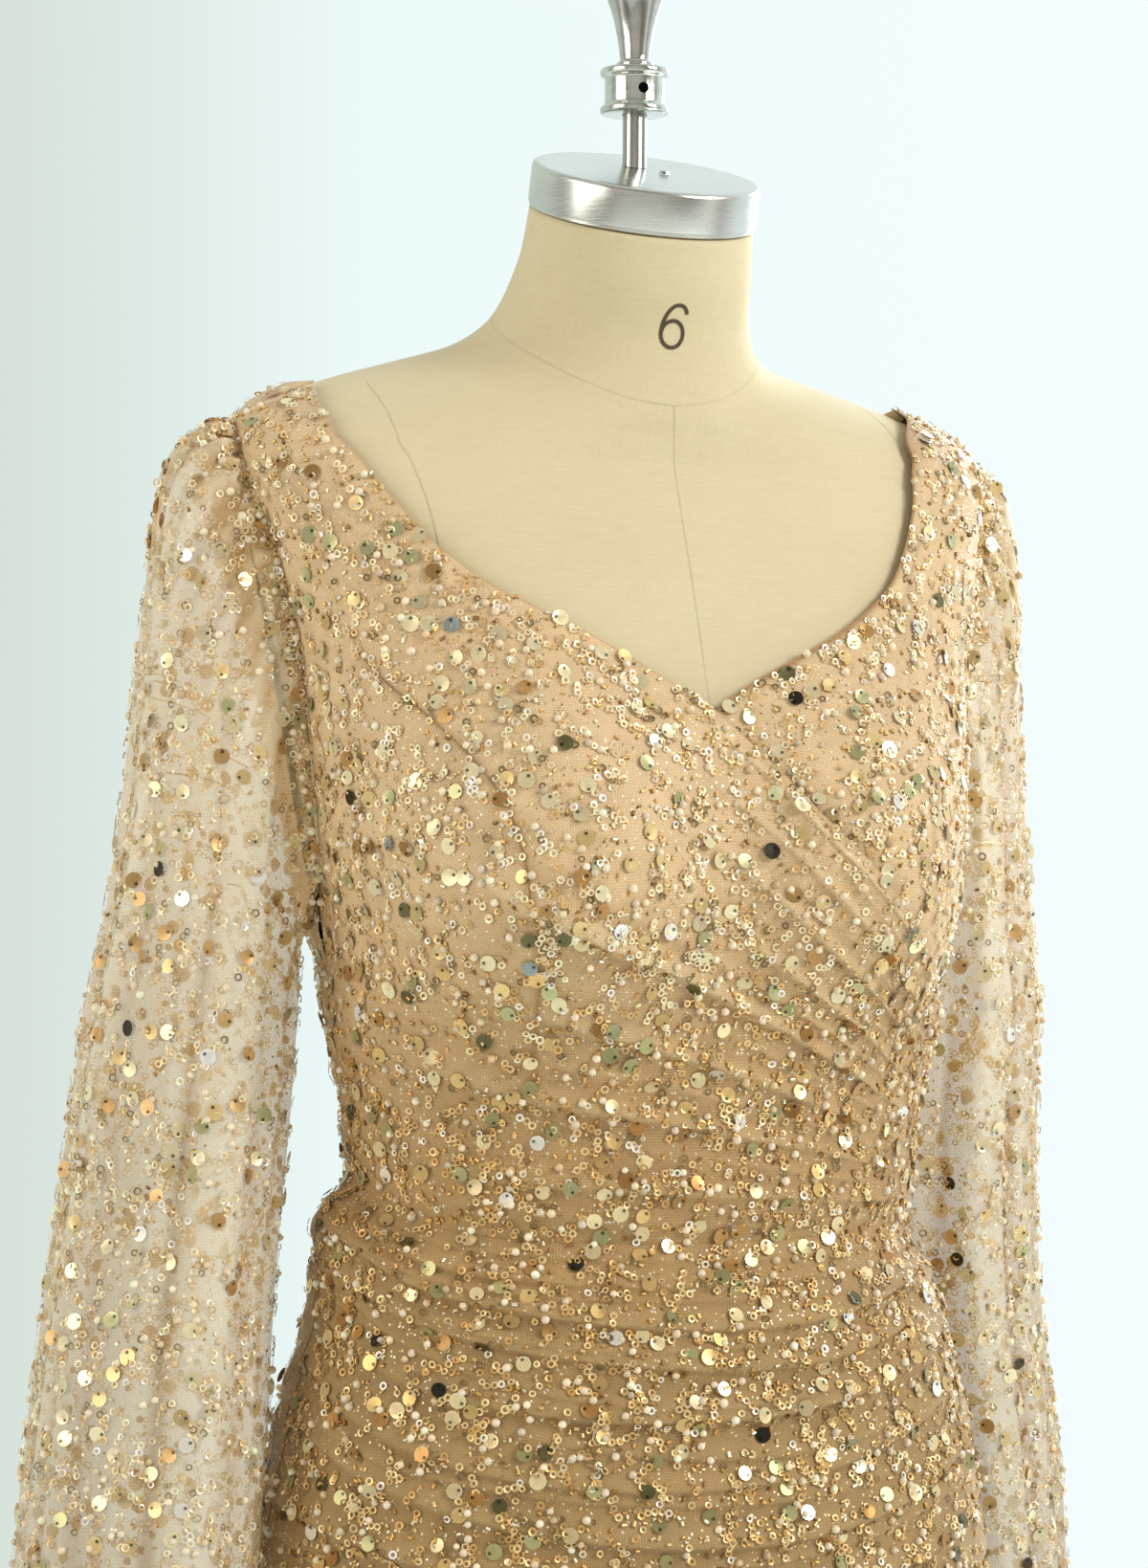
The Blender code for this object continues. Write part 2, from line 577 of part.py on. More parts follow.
def sleeve(name, side, table, eases, finish):
    """A set-in sleeve: a head that swings out of the armhole, then a hanging tube."""
    start = armhole_loop(side, eases)
    turns = np.arange(len(start)) * 360.0 / len(start)
    fold = sleeve_fold(turns)
    heights = np.linspace(table[0][0], table[-1][0], SLEEVE_ROWS)
    hanging = [sleeve_ring(side, (h, *read_table(table, h)), turns, fold) for h in heights]
    end = hanging[0]
    reach = np.linalg.norm(end - start, axis=-1, keepdims=True)
    upper = (0.5 + 0.5 * np.cos(np.radians(turns)))[:, None]
    outward = UNDERARM_SPREAD + (HEAD_SPREAD[side] - UNDERARM_SPREAD) * upper
    sideways = np.array([[side, 0.0, 0.0]])
    down = np.array([[0.0, 0.0, -1.0]])
    leave = reach * (outward * sideways + 1.1 * (1.0 - upper) * down)
    arrive = reach * (HEAD_SWING * upper * sideways + (1.0 + 0.3 * upper) * down)
    head = []
    for t in np.linspace(0.0, 1.0, SLEEVE_HEAD_ROWS + 1)[:-1]:
        head.append((2 * t**3 - 3 * t**2 + 1) * start + (t**3 - 2 * t**2 + t) * leave
                    + (3 * t**2 - 2 * t**3) * end + (t**3 - t**2) * arrive)
    grid = np.array(head + hanging)[::-1]
    if side > 0:
        grid = grid[:, ::-1]
    return cloth(name, grid, finish, tube=True)


# ---- the form and its stand ---------------------------------------------------------------
def torso_form(finish):
    """The form's covered body: closed level sections joined by a loft."""
    heights = [row[0] for row in FORM]
    extra = [(a + b) / 2 for a, b in zip(heights, heights[1:]) if b - a > 0.035]
    heights = sorted(heights + extra)
    degrees = np.arange(FORM_SEGMENTS) * 360.0 / FORM_SEGMENTS
    bm = bmesh.new()
    rings = [[bm.verts.new(p) for p in form_point(degrees, h)] for h in heights]
    for low, high in zip(rings, rings[1:]):
        for i in range(FORM_SEGMENTS):
            j = (i + 1) % FORM_SEGMENTS
            bm.faces.new((low[i], low[j], high[j], high[i]))
    bm.faces.new(rings[0][::-1])
    bm.faces.new(rings[-1])
    return add_mesh("torso_form", bm, finish)


def neck_plane():
    """Middle, tilt and height slope of the form's flat neck top."""
    height, centre_y, _half_width, _front, _back, tilt, _squareness = FORM[-1]
    middle = Vector((0.0, centre_y, WAIST_Z + height + tilt * centre_y))
    return middle, math.atan(tilt), tilt


def neck_cap(finish):
    middle, angle, _slope = neck_plane()
    bm = bmesh.new()
    bmesh.ops.create_cone(bm, cap_ends=True, segments=48, radius1=CAP_RADIUS,
                          radius2=CAP_RADIUS, depth=CAP_DEPTH)
    made = add_mesh("neck_cap", bm, finish)
    edge = made.modifiers.new("edge", "BEVEL")
    edge.width = 0.0014
    edge.segments = 2
    edge.limit_method = "ANGLE"
    turn = Matrix.Rotation(angle, 4, "X")
    lift = turn @ Vector((0.0, 0.0, CAP_DEPTH / 2 + SEAM_GAP))
    made.matrix_world = Matrix.Translation(middle + lift) @ turn
    return made


def cap_top_height(y):
    """World height of the cap's top face above a point at depth y."""
    middle, angle, slope = neck_plane()
    return middle.z + (CAP_DEPTH + SEAM_GAP) / math.cos(angle) + slope * (y - middle.y)


def cap_screw(finish):
    """A small round-headed screw in the front of the cap's top."""
    _middle, angle, _slope = neck_plane()
    x, y, depth = 0.008, -0.018, 0.0012
    bm = bmesh.new()
    bmesh.ops.create_cone(bm, cap_ends=True, segments=16, radius1=0.0026, radius2=0.0018,
                          depth=depth)
    made = add_mesh("cap_screw", bm, finish)
    place = Vector((x, y, cap_top_height(y) + depth / 2 + 2 * SEAM_GAP))
    made.matrix_world = Matrix.Translation(place) @ Matrix.Rotation(angle, 4, "X")
    return made


def neck_rod(finish):
    """The upright rod out of the cap, its foot cut to the cap's slope."""
    top = WAIST_Z + COLLAR_HIGH + SEAM_GAP
    bm = bmesh.new()
    bmesh.ops.create_cone(bm, cap_ends=True, segments=24, radius1=ROD_RADIUS,
                          radius2=ROD_RADIUS, depth=1.0)
    for vert in bm.verts:
        vert.co.z = top if vert.co.z > 0 else cap_top_height(vert.co.y) + SEAM_GAP
    return add_mesh("neck_rod", bm, finish)


def turned(name, profile, foot, finish, steps):
    """A turned piece: its profile, from the top down the outside, spun by Screw."""
    bm = bmesh.new()
    points = [bm.verts.new((radius, 0.0, height)) for radius, height in profile]
    for first, second in zip(points, points[1:]):
        bm.edges.new((first, second))
    if profile[0][0] > 0:
        bm.edges.new((points[-1], points[0]))
    made = add_mesh(name, bm, finish)
    made.location.z = foot
    spin = made.modifiers.new("turned", "SCREW")
    spin.steps = steps
    spin.render_steps = steps
    spin.use_merge_vertices = True
    spin.merge_threshold = 0.00005
    return made


def rod_collar(finish):
    """The locking collar, with the hole of its set screw in front."""
    made = turned("rod_collar", COLLAR_PROFILE, WAIST_Z + COLLAR_LOW, finish, steps=32)
    bm = bmesh.new()
    bmesh.ops.create_cone(bm, cap_ends=True, segments=12, radius1=SET_SCREW_RADIUS,
                          radius2=SET_SCREW_RADIUS, depth=0.012)
    cutter = add_mesh("set_screw_hole", bm, finish)
    collection(PARTS).objects.unlink(cutter)
    collection(CUTTERS).objects.link(cutter)
    cutter.hide_render = True
    cutter.display_type = "WIRE"
    middle = WAIST_Z + (COLLAR_LOW + COLLAR_HIGH) / 2
    turn = Matrix.Rotation(math.radians(90.0), 4, "X")
    cutter.matrix_world = Matrix.Translation((0.0, -0.0150, middle)) @ turn
    hole = made.modifiers.new("set screw", "BOOLEAN")
    hole.operation = "DIFFERENCE"
    hole.object = cutter
    return made


def stand_pole(finish):
    low = BASE_PROFILE[0][1] + SEAM_GAP
    high = WAIST_Z + FORM[0][0] - SEAM_GAP
    bm = bmesh.new()
    bmesh.ops.create_cone(bm, cap_ends=True, segments=24, radius1=POLE_RADIUS,
                          radius2=POLE_RADIUS, depth=high - low)
    made = add_mesh("stand_pole", bm, finish)
    made.location.z = (low + high) / 2
    return made


# ---- the zip -------------------------------------------------------------------------------
def zip_frame():
    """Place of the slider: origin on the back's outer face, Y out of it, Z up it."""
    distance = np.array([FORM_GAP + CLOTH])
    here = moved_out(form_point, np.array([180.0]), np.array([ZIP_HEIGHT]), distance)[0]
    above = moved_out(form_point, np.array([180.0]), np.array([ZIP_HEIGHT + 0.004]), distance)[0]
    up = Vector(above - here).normalized()
    out = Vector((1.0, 0.0, 0.0)).cross(up) * -1.0
    turn = Matrix((Vector((1.0, 0.0, 0.0)), out, up)).transposed().to_4x4()
    return Matrix.Translation(Vector(here)) @ turn


def box(bm, low, high):
    size = Vector(high) - Vector(low)
    place = Matrix.Translation((Vector(high) + Vector(low)) / 2)
    bmesh.ops.create_cube(bm, size=1.0, matrix=place @ Matrix.Diagonal((*size, 1.0)))


def zip_slider(frame, finish):
    """Slider body with its bridge: two posts and a top, with room for the pull's bar."""
    bm = bmesh.new()
    width, length = SLIDER["half_width"], SLIDER["half_length"]
    box(bm, (-width, SLIDER["low"], -length), (width, SLIDER["high"], length))
    made = add_mesh("zip_slider", bm, finish)
    made.matrix_world = frame
    edge = made.modifiers.new("edge", "BEVEL")
    edge.width = 0.0005
    edge.segments = 1
    bridge = bmesh.new()
    half, post = BRIDGE["half_width"], BRIDGE["post"]
    low, high = BRIDGE["inside_low"], BRIDGE["inside_high"]
    root = SLIDER["high"] - 0.0006
    box(bridge, (-half, root, low - post), (half, BRIDGE["top"], high + post))
    arch = add_mesh("bridge", bridge, finish)
    hollow = bmesh.new()
    box(hollow, (-2 * half, SLIDER["high"], low), (2 * half, BRIDGE["hole_top"], high))
    window = add_mesh("bridge_window", hollow, finish)
    for helper in (arch, window):
        collection(PARTS).objects.unlink(helper)
        collection(CUTTERS).objects.link(helper)
        helper.matrix_world = frame
        helper.hide_render = True
        helper.display_type = "WIRE"
    for helper, action in ((arch, "UNION"), (window, "DIFFERENCE")):
        step = made.modifiers.new(helper.name, "BOOLEAN")
        step.operation = action
        step.object = helper
    return made


def pull_outline():
    """The pull's outline below its pivot: straight top, round foot."""
    half, foot, end = PULL["half_width"], PULL["foot_half_width"], -PULL["length"]
    points = [(-half, PULL["bar"]), (half, PULL["bar"]), (half, -PULL["hole_end"] - 0.001)]
    centre = end + foot
    for step in range(9):
        turn = math.radians(180.0 * step / 8)
        points.append((foot * math.cos(turn), centre - foot * math.sin(turn)))
    points.append((-half, -PULL["hole_end"] - 0.001))
    return points[::-1]


def zip_pull(frame, finish):
    """The flat pull tab, hung by its top bar under the slider's bridge."""
    inner = PULL["half_width"] - PULL["rail"]
    window = [(-inner, -PULL["bar"]), (inner, -PULL["bar"]),
              (inner, -PULL["hole_end"]), (-inner, -PULL["hole_end"])]
    outline = bpy.data.curves.new("zip_pull", "CURVE")
    outline.dimensions = "2D"
    outline.fill_mode = "BOTH"
    outline.extrude = PULL["thickness"] / 2
    for loop in (pull_outline(), window):
        spline = outline.splines.new("POLY")
        spline.points.add(len(loop) - 1)
        for point, (x, y) in zip(spline.points, loop):
            point.co = (x, y, 0.0, 1.0)
        spline.use_cyclic_u = True
    outline.render_resolution_u = 0
    made = bpy.data.objects.new("zip_pull", outline)
    outline.materials.append(finish)
    collection(PARTS).objects.link(made)
    pivot = Vector((0.0, (SLIDER["high"] + BRIDGE["hole_top"]) / 2,
                    (BRIDGE["inside_low"] + BRIDGE["inside_high"]) / 2))
    upright = Matrix.Rotation(math.radians(90.0), 4, "X")
    made.matrix_world = frame @ Matrix.Translation(pivot) @ upright
    return made


def build():
    clear_scene()
    linen = material("linen", (0.80, 0.74, 0.62), 0.85)
    aluminium = material("aluminium", (0.70, 0.71, 0.72), 0.35, 1.0)
    chrome = material("chrome", (0.75, 0.76, 0.78), 0.12, 1.0)
    enamel = material("enamel", (0.80, 0.80, 0.79), 0.35)
    beaded = material("beaded_tulle", (0.72, 0.55, 0.36), 0.45, 0.3)
    sheer = material("sheer_tulle", (0.84, 0.72, 0.54), 0.5, 0.2)
    gilt = material("gilt", (0.80, 0.62, 0.32), 0.25, 1.0)

    turned("base_plate", BASE_PROFILE, 0.0, enamel, steps=48)
    stand_pole(chrome)
    torso_form(linen)
    neck_cap(aluminium)
    cap_screw(chrome)
    neck_rod(chrome)
    rod_collar(chrome)
    turned("finial", FINIAL_PROFILE, WAIST_Z + COLLAR_HIGH + 2 * SEAM_GAP, chrome, steps=32)

    over_ease = FORM_GAP + CLOTH + LAYER_GAP
    seam_rows = np.array(SIDE)[:, 0]
    pleated_rows = np.linspace(0.0, 1.0, PLEATED_ROWS)
    bodice_front("bodice_front_under", 1, seam_rows, FORM_GAP, beaded, pleated=False)
    bodice_front("bodice_front_over", -1, pleated_rows, over_ease, beaded, pleated=True)
    bodice_back("bodice_back_right", -1, seam_rows, beaded)
    bodice_back("bodice_back_left", 1, seam_rows, beaded)
    skirt_front("skirt_front", beaded)
    skirt_back("skirt_back_right", -1, beaded)
    skirt_back("skirt_back_left", 1, beaded)
    sleeve("sleeve_right", -1, SLEEVE_RIGHT, (FORM_GAP, FORM_GAP), sheer)
    sleeve("sleeve_left", 1, SLEEVE_LEFT, (FORM_GAP, FORM_GAP), sheer)

    frame = zip_frame()
    zip_slider(frame, gilt)
    zip_pull(frame, gilt)


build()
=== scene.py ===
"""Looks of a long-sleeved sequin wedding dress on a limbless dress form.

Every sheet of cloth repeats the garment's own sections (form, skirt, sleeves and
pattern lines) in metres, with finer folds. Angles go round the body from the centre
front (0) to the wearer's left side (90) and the centre back (180); heights are
measured from the waist. Beads and sequins are strewn over the sheets' own points.
"""

import math

import bpy
import numpy as np
from mathutils import Matrix, Vector


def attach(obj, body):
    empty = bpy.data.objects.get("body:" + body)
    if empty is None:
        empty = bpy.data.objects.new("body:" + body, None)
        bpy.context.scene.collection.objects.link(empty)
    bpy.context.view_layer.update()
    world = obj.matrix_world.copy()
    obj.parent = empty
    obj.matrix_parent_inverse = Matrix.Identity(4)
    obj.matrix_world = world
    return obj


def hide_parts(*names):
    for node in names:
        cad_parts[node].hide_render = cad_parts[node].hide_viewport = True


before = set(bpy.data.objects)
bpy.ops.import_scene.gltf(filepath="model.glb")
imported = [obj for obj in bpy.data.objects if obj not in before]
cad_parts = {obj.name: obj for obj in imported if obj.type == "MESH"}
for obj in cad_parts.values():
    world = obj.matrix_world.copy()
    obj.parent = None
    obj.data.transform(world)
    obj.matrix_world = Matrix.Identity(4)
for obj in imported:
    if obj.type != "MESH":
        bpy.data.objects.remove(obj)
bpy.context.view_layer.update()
BODY = "dress_form"

# ---- sizes shared with the solids ---------------------------------------------------
WAIST_Z = 1.070
CLOTH = 0.0016
FORM_GAP = 0.0034
LAYER_GAP = 0.0025
SHELL = 0.0011             # a visible sheet's place inside its solid's thickness
SEAM = 0.00015
WAIST_GAP = 0.0004
HEM_HEIGHT = -1.048
WAIST_DIP = 0.007
WAIST_CLIMB = 0.022

# Columns: height, centre_y, half_width, front, back, tilt, squareness.
FORM = (
    (-0.340, 0.008, 0.164, 0.106, 0.110, 0.00, 2.20),
    (-0.280, 0.008, 0.170, 0.110, 0.116, 0.00, 2.20),
    (-0.200, 0.008, 0.174, 0.116, 0.123, 0.00, 2.20),
    (-0.100, 0.004, 0.160, 0.109, 0.110, 0.00, 2.20),
    (0.000, 0.000, 0.132, 0.092, 0.086, 0.00, 2.10),
    (0.045, 0.001, 0.134, 0.093, 0.088, 0.00, 2.10),
    (0.090, 0.003, 0.141, 0.097, 0.094, 0.00, 2.15),
    (0.140, 0.006, 0.148, 0.100, 0.100, 0.00, 2.25),
    (0.180, 0.009, 0.154, 0.100, 0.103, 0.00, 2.40),
    (0.220, 0.013, 0.159, 0.100, 0.102, 0.00, 2.60),
    (0.260, 0.018, 0.164, 0.098, 0.098, 0.02, 2.80),
    (0.300, 0.023, 0.173, 0.093, 0.091, 0.06, 2.90),
    (0.330, 0.027, 0.181, 0.087, 0.082, 0.12, 2.80),
    (0.350, 0.030, 0.186, 0.083, 0.074, 0.17, 2.60),
    (0.363, 0.031, 0.184, 0.080, 0.068, 0.21, 2.40),
    (0.372, 0.030, 0.169, 0.079, 0.063, 0.25, 2.30),
    (0.380, 0.029, 0.146, 0.078, 0.059, 0.29, 2.20),
    (0.388, 0.026, 0.115, 0.076, 0.056, 0.33, 2.10),
    (0.396, 0.023, 0.086, 0.073, 0.054, 0.36, 2.00),
    (0.405, 0.019, 0.071, 0.068, 0.053, 0.38, 2.00),
    (0.416, 0.014, 0.063, 0.062, 0.052, 0.38, 2.00),
    (0.432, 0.007, 0.058, 0.057, 0.052, 0.36, 2.00),
    (0.452, -0.003, 0.055, 0.054, 0.053, 0.34, 2.00),
    (0.475, -0.009, 0.053, 0.053, 0.053, 0.33, 2.00),
)
BUST = {"out": 0.044, "aside": 0.085, "height": 0.162, "wide": 0.068, "up": 0.092, "down": 0.066}

# Columns: height, centre_y, half_width, front, back, squareness.
SKIRT = (
    (0.030, 0.001, 0.1372, 0.0962, 0.0908, 2.10),
    (0.000, 0.000, 0.1354, 0.0954, 0.0894, 2.10),
    (-0.009, 0.000, 0.1364, 0.0970, 0.0910, 2.10),
    (-0.030, 0.001, 0.1470, 0.1050, 0.0995, 2.12),
    (-0.060, 0.002, 0.1565, 0.1120, 0.1080, 2.15),
    (-0.100, 0.004, 0.1665, 0.1170, 0.1170, 2.20),
    (-0.150, 0.006, 0.1752, 0.1220, 0.1240, 2.20),
    (-0.200, 0.008, 0.1790, 0.1250, 0.1290, 2.20),
    (-0.280, 0.008, 0.1800, 0.1250, 0.1290, 2.20),
    (-0.400, 0.008, 0.1840, 0.1350, 0.1390, 2.15),
    (-0.550, 0.008, 0.2020, 0.1630, 0.1700, 2.10),
    (-0.750, 0.008, 0.2460, 0.2160, 0.2280, 2.05),
    (-0.920, 0.008, 0.2960, 0.2720, 0.2860, 2.02),
    (-1.048, 0.008, 0.3380, 0.3170, 0.3330, 2.00),
)
FLUTES = ((5, 0.016, 20.0), (8, 0.012, 75.0))
FLUTES_START = -0.42
BUNCH = {"height": 0.000, "spread": 0.030, "out": 0.016}

# Necklines, armhole and side line of the bodice: along, angle, height.
FRONT_EDGE = (
    (0.00, -90.0, 0.3790), (0.06, -70.0, 0.3745), (0.12, -56.0, 0.3670), (0.18, -47.0, 0.3530),
    (0.24, -42.0, 0.3340), (0.30, -37.5, 0.3120), (0.36, -31.0, 0.2920), (0.42, -22.0, 0.2750),
    (0.50, -3.0, 0.2390), (0.57, 8.5, 0.2110), (0.65, 20.0, 0.1770), (0.76, 42.0, 0.1260),
    (0.88, 66.0, 0.0940), (1.00, 90.0, 0.0750),
)
UNDER_EDGE = (
    (0.00, -90.0, 0.3790), (0.06, -67.0, 0.3782), (0.12, -52.0, 0.3750), (0.18, -44.0, 0.3680),
    (0.24, -39.5, 0.3540), (0.30, -37.0, 0.3300), (0.36, -33.5, 0.3040), (0.42, -26.0, 0.2800),
    *FRONT_EDGE[8:],
)
FRONT_EDGES = {-1: FRONT_EDGE, 1: UNDER_EDGE}
BACK_EDGE = (
    (0.00, 90.0, 0.3790), (0.18, 113.0, 0.3730), (0.40, 134.0, 0.3590), (0.70, 158.0, 0.3300),
    (1.00, 180.0, 0.3020),
)
SIDE = (
    (0.00, 0.0, 0.0000), (0.12, 0.0, 0.0500), (0.24, 0.0, 0.1000), (0.34, 0.0, 0.1440),
    (0.40, 5.0, 0.1600), (0.48, 8.0, 0.1950), (0.56, 11.5, 0.2350), (0.64, 15.0, 0.2700),
    (0.72, 16.5, 0.3020), (0.80, 15.5, 0.3280), (0.88, 9.5, 0.3470), (0.94, 0.0, 0.3560),
    (0.97, 0.0, 0.3645), (1.00, 0.0, 0.3790),
)
ARMHOLE_GAP = 0.0002
ARMHOLE_LOW = 3
ARMHOLE_TOP = 11
EDGE_REACH = 5
PLEAT_ROOM = 0.24

# ---- folds, finer than the solids' ------------------------------------------------------
# Pleats of the crossed front: place up the panel, height, half-width, where across the
# panel each starts, and where it dies out (over 1 runs into the far side seam).
PLEATS = (
    (0.030, 0.0014, 0.012, 0.10, 1.2), (0.090, 0.0028, 0.019, 0.05, 1.2),
    (0.150, 0.0013, 0.012, 0.34, 0.9), (0.215, 0.0036, 0.021, 0.00, 1.2),
    (0.272, 0.0016, 0.012, 0.22, 1.2), (0.335, 0.0034, 0.019, 0.14, 1.2),
    (0.398, 0.0018, 0.012, 0.42, 1.2), (0.465, 0.0046, 0.023, 0.08, 1.2),
    (0.528, 0.0019, 0.013, 0.30, 0.9), (0.590, 0.0038, 0.021, 0.34, 1.2),
    (0.652, 0.0018, 0.012, 0.48, 1.2), (0.715, 0.0048, 0.023, 0.38, 1.2),
    (0.780, 0.0022, 0.013, 0.52, 1.2), (0.845, 0.0042, 0.021, 0.42, 1.2),
    (0.905, 0.0018, 0.011, 0.50, 1.2), (0.960, 0.0024, 0.012, 0.34, 1.2),
)
# The bust darts: angle from the centre front on the wearer's right, height.
DART = ((57.0, 0.262), (53.0, 0.247), (47.5, 0.232), (42.0, 0.212), (38.5, 0.191), (37.5, 0.167),
        (37.0, 0.147), (35.5, 0.126), (34.5, 0.060))
DART_WIDTH = 0.0022
DART_TONE = 0.55           # how far a dart darkens the cloth beside it
EDGE_TONE = 0.5            # the same along the armholes and neck edges
BOUND_TONES = (0.25, 1.0)  # the same on the last two rows of the lower front's bound neck
# The form's own panel seams: angle from the centre front, height.
PANEL_SEAM = ((85.0, 0.385), (68.4, 0.383), (54.8, 0.3785), (45.0, 0.371), (39.4, 0.362), (36.8, 0.3435),
              (37.0, 0.3245), (37.4, 0.3005), (38.0, 0.250), (39.0, 0.160), (34.0, 0.060))
# The form's neck seam: angle, height.
NECK_SEAM = ((0.0, 0.3973), (15.0, 0.3995), (30.0, 0.4035), (58.0, 0.4095), (90.0, 0.4130), (180.0, 0.4180))
# Crescent folds of the skirt: depth below the waist, rise, half-width, how much is left
# at the right seam and at the left, and the angles between which a fold is full.
DRAPES = (
    (0.0075, 0.0016, 0.0030, 0.9, 0.5, -90, 90), (0.0180, 0.0042, 0.0048, 0.9, 0.6, -90, 90),
    (0.0270, 0.0018, 0.0032, 1.0, 0.6, -90, 10), (0.0360, 0.0062, 0.0062, 1.0, 0.8, -90, 90),
    (0.0475, 0.0024, 0.0036, 0.8, 0.6, -55, 90), (0.0580, 0.0052, 0.0058, 0.8, 1.0, -90, 90),
    (0.0700, 0.0026, 0.0038, 1.1, 0.7, -90, 35), (0.0820, 0.0070, 0.0072, 0.5, 1.0, -90, 90),
    (0.0955, 0.0028, 0.0042, 0.9, 1.0, -20, 90), (0.1090, 0.0058, 0.0066, 0.9, 0.9, -90, 90),
    (0.1215, 0.0026, 0.0042, 1.0, 0.8, -90, 20), (0.1340, 0.0076, 0.0078, 0.6, 1.1, -90, 90),
    (0.1490, 0.0030, 0.0046, 0.8, 1.2, 5, 90), (0.1630, 0.0062, 0.0074, 1.0, 1.0, -90, 90),
    (0.1780, 0.0026, 0.0046, 1.1, 0.6, -90, 0), (0.1920, 0.0078, 0.0086, 0.7, 1.1, -90, 90),
    (0.2090, 0.0030, 0.0052, 0.7, 1.1, -10, 90), (0.2260, 0.0060, 0.0086, 0.9, 1.0, -90, 90),
    (0.2440, 0.0026, 0.0052, 1.0, 0.7, -90, 30), (0.2620, 0.0068, 0.0098, 0.7, 1.0, -90, 90),
    (0.2830, 0.0024, 0.0056, 0.8, 1.0, 0, 90), (0.3040, 0.0046, 0.0105, 0.8, 0.9, -90, 90),
    (0.3300, 0.0020, 0.0080, 0.9, 0.6, -90, -10),
)
DRAPE_DEPTH = 0.46
DRAPE_FADE = 22.0          # degrees over which a fold dies out
DRAPE_WANDER = 0.0035
DRAPE_STEEP = 0.16         # a fold's lower side, as a share of its upper one
DRAPE_LINE = 0.0011        # half-width of the painted shadow line under a fold
DRAPE_END = 0.36
DRAPES_CLOSE = 0.215       # depth down to which the sheet's rows lie closest
DRAPE_LIFT_LEFT = 0.042
DRAPE_LIFT_RIGHT = 0.026
RIPPLES = ((11, 0.0056), (23, 0.0032))    # fine flutes round the hem: count, depth
PLEAT_DEPTH = 0.75
PLEAT_WANDER = 0.010
PLEAT_STEEP = 0.32
PLEATS_AT_WAIST = 0.3      # share of a pleat's depth that is left at the waist seam
LAYERS_AT_WAIST = 0.15     # share of the gap between the two fronts that is left there
UNDER_PLEATS = 0.34        # depth of the lower front's folds beside the upper front's
WAIST_EASE = 0.016         # height over which the fronts rise off the waist seam
# Stress folds of the back: place up the panel, height.
BACK_FOLDS = ((0.05, 0.0016), (0.13, 0.0022), (0.22, 0.0014), (0.31, 0.0018), (0.42, 0.0010))
BACK_FOLD_WIDTH = 0.024
ZIP_EDGE = 0.0007
ZIP_EDGE_WIDTH = 0.0035
BACK_WIDTH = 0.14

# Columns: height, out, centre_y, half_width, half_depth.
SLEEVE_RIGHT = (
    (0.100, 0.2025, 0.044, 0.0470, 0.0590), (0.050, 0.2075, 0.044, 0.0485, 0.0605),
    (0.000, 0.2135, 0.043, 0.0495, 0.0620), (-0.050, 0.2200, 0.038, 0.0508, 0.0635),
    (-0.100, 0.2265, 0.030, 0.0528, 0.0645), (-0.150, 0.2340, 0.018, 0.0530, 0.0650),
    (-0.228, 0.2400, 0.006, 0.0520, 0.0640),
)
SLEEVE_LEFT = (
    (0.100, 0.1950, 0.055, 0.0420, 0.0550), (0.050, 0.1932, 0.063, 0.0463, 0.0585),
    (0.000, 0.1950, 0.073, 0.0500, 0.0610), (-0.050, 0.2000, 0.080, 0.0510, 0.0620),
    (-0.100, 0.2090, 0.087, 0.0520, 0.0630), (-0.150, 0.2180, 0.093, 0.0525, 0.0640),
    (-0.228, 0.2260, 0.099, 0.0520, 0.0640),
)
# The sleeve heads, for the right (-1) and the left (1): how far each leaves the armhole
# sideways, how it swings down, its puff, and how far its top laps over the shoulder.
HEAD_SPREAD = {-1: 0.66, 1: 0.45}
HEAD_SWING = {-1: 0.38, 1: 0.23}
HEAD_PUFF = {-1: 0.5, 1: 0.3}
HEAD_LAP = {-1: 0.0050, 1: 0.0015}
UNDERARM_SPREAD = 0.35
UNDERARM_EASE = 0.0009
HEAD_GATHERS = 26
GATHER_DEPTH = 0.0024
PUFF_DEPTH = 0.0060
CROWN_DEPTH = 0.0070
# Broad folds of a sleeve: angle round it, depth, half-width.
SLEEVE_FOLDS = ((22.0, 0.0050, 20.0), (88.0, 0.0065, 20.0), (135.0, 0.0035, 20.0),
                (230.0, 0.0045, 22.0), (275.0, 0.0055, 20.0), (338.0, 0.0040, 18.0))
# Long creases of a sleeve: angle round it at the elbow, drift to the shoulder, depth,
# half-width, and the heights between which each is full.
SLEEVE_CREASES = (
    (8, 14, 0.0022, 5.0, -0.228, 0.16), (38, -10, -0.0026, 5.5, -0.228, 0.20),
    (58, 12, 0.0024, 5.0, -0.15, 0.26), (74, -4, -0.0040, 5.0, -0.228, 0.28),
    (98, 2, 0.0036, 7.0, -0.228, 0.26), (122, -12, -0.0024, 5.0, -0.228, 0.05),
    (150, 8, 0.0018, 5.5, -0.20, 0.12), (176, -8, -0.0020, 6.0, -0.228, 0.16),
    (204, 12, 0.0022, 5.5, -0.228, 0.10), (246, -10, 0.0022, 5.0, -0.228, 0.22),
    (258, 6, -0.0026, 5.0, -0.228, 0.14), (296, 12, 0.0024, 5.5, -0.16, 0.24),
    (314, -8, -0.0024, 4.8, -0.228, 0.18), (352, 6, -0.0020, 5.0, -0.228, 0.24),
)

# ---- edges ----------------------------------------------------------------------------------
HEM_DEPTH = 0.0070
HEM_THICK = 0.0011
# How far a hidden seam's allowance runs past the seam line, and inward.
ALLOWANCE = {"bodice": (0.0035, 0.0013), "sleeve": (0.0040, 0.0012), "skirt": (0.0018, 0.0009)}
DEGREE = 0.0022            # metres round the chest in one degree
